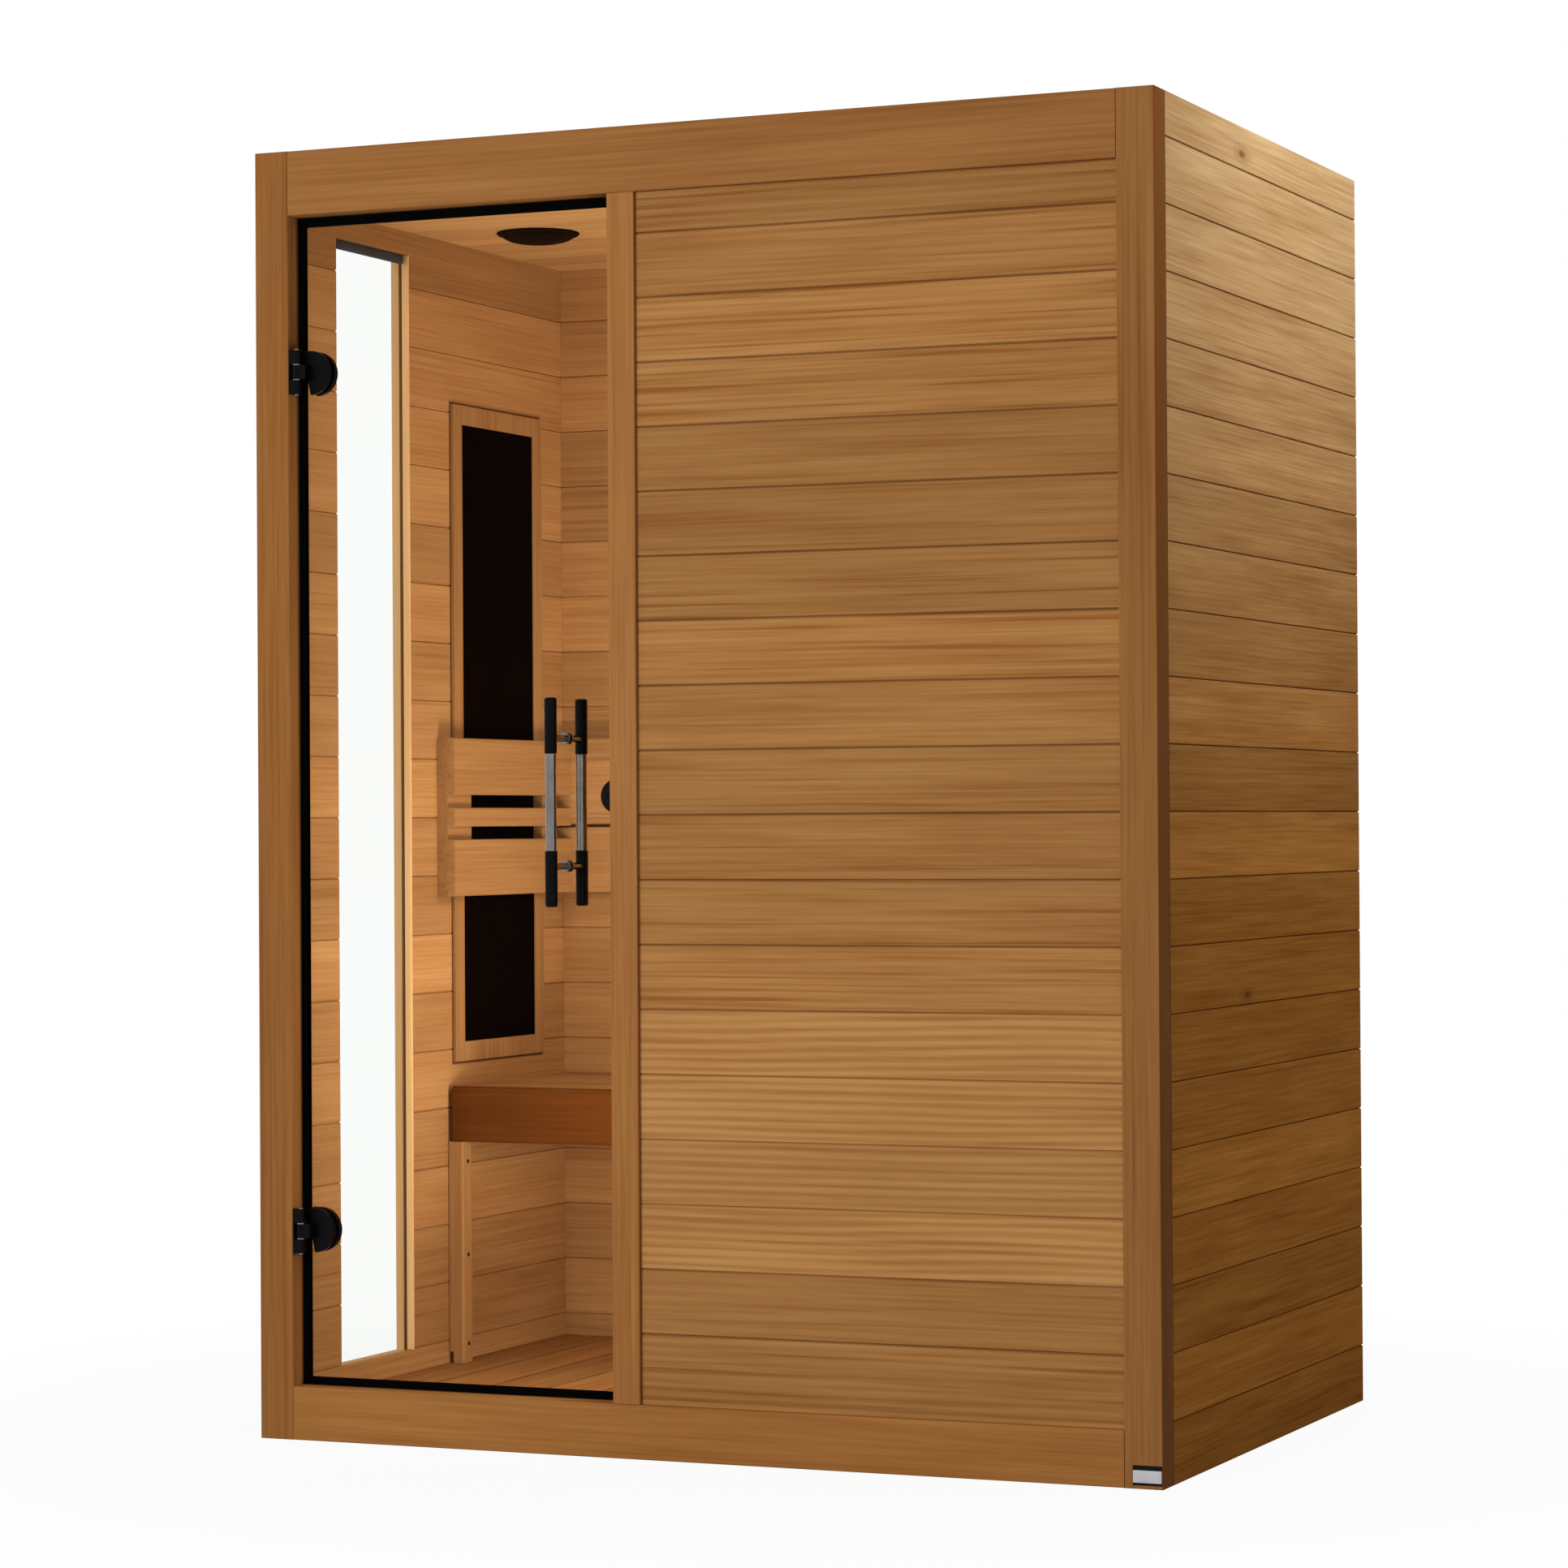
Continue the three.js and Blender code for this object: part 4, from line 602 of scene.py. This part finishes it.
mm = 0.001
CLEAT_SCREW_Y, CLEAT_SCREW_HEIGHTS, CLEAT_SCREW_RADIUS = 56 * mm, (81, 222, 370), 3.2 * mm
HINGE_SCREW_OFFSET, HINGE_SCREW_STEP, HINGE_SCREW_RADIUS = 4 * mm, 17 * mm, 4 * mm
screws = []
for label, facing, corner in (("left", "x", 1), ("right", "-x", 0)):
    face_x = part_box(f"bench_cleat_{label}")[corner][0]
    for height in CLEAT_SCREW_HEIGHTS:
        name = f"cleat_screw_{label}_{height}"
        centre = (face_x, CLEAT_SCREW_Y, height * mm)
        screws.append(screw(name, centre, facing, CLEAT_SCREW_RADIUS, "cabin", "black_metal"))
for label in ("upper", "lower"):
    low, high = (np.array(corner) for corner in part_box(f"hinge_{label}_back_plate"))
    middle = (low + high) / 2
    for step in (-1, 1):
        name = f"hinge_screw_{label}_{step + 1}"
        centre = (middle[0] - HINGE_SCREW_OFFSET, high[1], middle[2] + step * HINGE_SCREW_STEP)
        screws.append(screw(name, centre, "y", HINGE_SCREW_RADIUS, "door", "chrome"))
print("screws:", len(screws))


# %% Bare plate and window strips
def plate(name, centre, facing, width, height, corner, thick, coat, slot):
    """Rings of a rounded rectangle: each is the rim drawn in by its inset, at its own height."""
    angle = np.linspace(0.0, 2.0 * np.pi, 32, endpoint=False)[None, :]
    inset = np.array([0.0, 0.0, 0.25, 1.0, 1.0])[:, None] * thick
    rise = np.array([0.0, 0.6, 0.9, 1.0, 1.0])[:, None] * thick
    scale = np.array([1.0, 1.0, 1.0, 1.0, 0.0])[:, None]
    rim_u = np.sign(np.cos(angle)) * (width / 2 - corner) + corner * np.cos(angle)
    rim_v = np.sign(np.sin(angle)) * (height / 2 - corner) + corner * np.sin(angle)
    u = rim_u * (1 - 2 * inset / width) * scale
    v = rim_v * (1 - 2 * inset / height) * scale
    w = np.broadcast_to(rise, u.shape)
    return surface(name, placed(u, v, w, centre, facing), looks[coat], "cabin")


post_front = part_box("front_post_right")[0][1]
PLATE_X = POST_EDGE - 22 * mm
BACK_SIZE, BACK_Z, BACK_THICK = (42 * mm, 27 * mm), 18.5 * mm, 0.8 * mm
PLATE_SIZE, PLATE_Z, PLATE_THICK = (41 * mm, 17 * mm), 17 * mm, 0.5 * mm
PLATE_CORNER = 1 * mm
back_centre = (PLATE_X, post_front, BACK_Z)
plate_centre = (PLATE_X, post_front - BACK_THICK, PLATE_Z)
plate("bare_plate_back", back_centre, "-y", *BACK_SIZE, PLATE_CORNER, BACK_THICK,
      "black_plastic", "black_plastic")
plate("bare_plate", plate_centre, "-y", *PLATE_SIZE, PLATE_CORNER, PLATE_THICK, "grey_steel", "grey_steel")

TRIM_SIZE, TRIM_CORNER, TRIM_THICK = (12 * mm, 1712 * mm), 0.5 * mm, 3 * mm
STRIP_SIZE, STRIP_CORNER, STRIP_THICK = (225 * mm, 14 * mm), 1 * mm, 6 * mm
window_middle_z = float(middle_and_half("window_bead")[0][2])
trim_centre = (-671.2 * mm, -76 * mm, window_middle_z)
strip_centre = (-677.5 * mm, -193.5 * mm, 1789 * mm)
plate("window_side_trim", trim_centre, "-y", *TRIM_SIZE, TRIM_CORNER, TRIM_THICK, "timber_trim", "inner_wood")
plate("window_head_strip", strip_centre, "x", *STRIP_SIZE, STRIP_CORNER, STRIP_THICK,
      "slate_trim", "black_plastic")
print("bare plate at", plate_centre, "window strips at", trim_centre, strip_centre)

# %% [markdown]
# ## Studio
# The photograph has a white ground. The floor stays a real, pale floor that takes the cabin's shadow, and
# far from the cabin it turns plain white, so that no horizon shows. The world is white to the camera and to
# glass and metal, but weak as a light, so that it doesn't wash out the wood.


# %% Floor and world
def seen(tree):
    """1 for rays of the camera, of a reflection or through glass, and 0 for rays that only carry light."""
    path = tree.nodes.new("ShaderNodeLightPath").outputs
    bent = maths(tree, "MAXIMUM", path["Is Glossy Ray"], path["Is Transmission Ray"])
    return maths(tree, "MAXIMUM", path["Is Camera Ray"], bent)


REACH = 60.0
FLOOR_GREY, NEAR_WHITE, WORLD_LIGHT = (0.45, 0.45, 0.45, 1.0), 0.95, 0.27
SHADOW_RADIUS, WHITE_RADIUS = 0.9, 1.9
corners = [(-REACH, -REACH, 0), (REACH, -REACH, 0), (REACH, REACH, 0), (-REACH, REACH, 0)]
floor_mesh = bpy.data.meshes.new("studio_floor")
floor_mesh.from_pydata(corners, [], [(0, 1, 2, 3)])
studio_floor = bpy.data.objects.new("studio_floor", floor_mesh)
bpy.context.collection.objects.link(studio_floor)
pale = bpy.data.materials.new("pale_floor")
pale.use_nodes = True
tree = pale.node_tree
shader = tree.nodes["Principled BSDF"]
shader.inputs["Base Color"].default_value = FLOOR_GREY
shader.inputs["Roughness"].default_value = 0.9
white = node(tree, "ShaderNodeEmission", Strength=1.0)
place = tree.nodes.new("ShaderNodeTexCoord").outputs["Object"]
away = node(tree, "ShaderNodeVectorMath", {"operation": "LENGTH"}, i0=place).outputs["Value"]
share = maths(tree, "MULTIPLY", ramp(tree, away, SHADOW_RADIUS, WHITE_RADIUS, NEAR_WHITE, 1.0), seen(tree))
mix = node(tree, "ShaderNodeMixShader", i0=share, i1=shader.outputs[0], i2=white.outputs[0])
tree.links.new(mix.outputs[0], tree.nodes["Material Output"].inputs["Surface"])
floor_mesh.materials.append(pale)

world = bpy.data.worlds.new("studio")
bpy.context.scene.world = world
world.use_nodes = True
tree = world.node_tree
sky = tree.nodes["Background"]
sky.inputs["Color"].default_value = (1.0, 1.0, 1.0, 1.0)
tree.links.new(ramp(tree, seen(tree), 0.0, 1.0, WORLD_LIGHT, 1.0), sky.inputs["Strength"])
print("floor reaches", REACH, "m, world light", WORLD_LIGHT)

# %% [markdown]
# ## Lamps
# A broad lamp in front lights the face, a small one high at the right grazes the top of the right wall, and
# one behind lights the back. Three small warm lamps stand for the light inside. None shows to the camera.

# %% Lamps
WARM = (1.0, 0.96, 0.88)


def lamp(name, place, target, size, power, colour=(1.0, 1.0, 1.0)):
    """A square area lamp that looks from its place to its target."""
    data = bpy.data.lights.new(name, "AREA")
    data.size = size
    data.energy = power
    data.color = colour
    made = bpy.data.objects.new(name, data)
    bpy.context.collection.objects.link(made)
    back = np.array(place, float) - np.array(target, float)
    back /= np.linalg.norm(back)
    side = np.cross((0.0, 0.0, 1.0), back) if abs(back[2]) < 0.99 else np.array([1.0, 0.0, 0.0])
    side /= np.linalg.norm(side)
    stand = np.eye(4)
    stand[:3, 0], stand[:3, 1], stand[:3, 2], stand[:3, 3] = side, np.cross(back, side), back, place
    made.matrix_world = stand.T.tolist()
    made.visible_camera = False
    made.visible_glossy = False
    made.visible_transmission = False
    return made


lamp("front_lamp", (-1.0, -5.0, 2.0), (0.0, -0.4, 0.95), 3.2, 180.0)
lamp("side_lamp", (1.6, 0.15, 2.6), (0.7, 0.1, 1.75), 0.7, 25.5)
lamp("cabin_lamp", (0.35, 0.12, 1.2), (-0.7, 0.2, 1.1), 0.4, 4.7, WARM)
lamp("cabin_fill", (0.1, -0.2, 0.3), (0.0, 0.1, 1.8), 0.4, 7.6, WARM)
lamp("bench_fill", (0.25, -0.25, 0.4), (-0.55, 0.4, 0.2), 0.3, 5.4, WARM)
lamp("back_lamp", (-0.6, 4.5, 2.2), (0.0, 0.5, 1.0), 3.0, 70.0)
print("lamps:", len(bpy.data.lights))
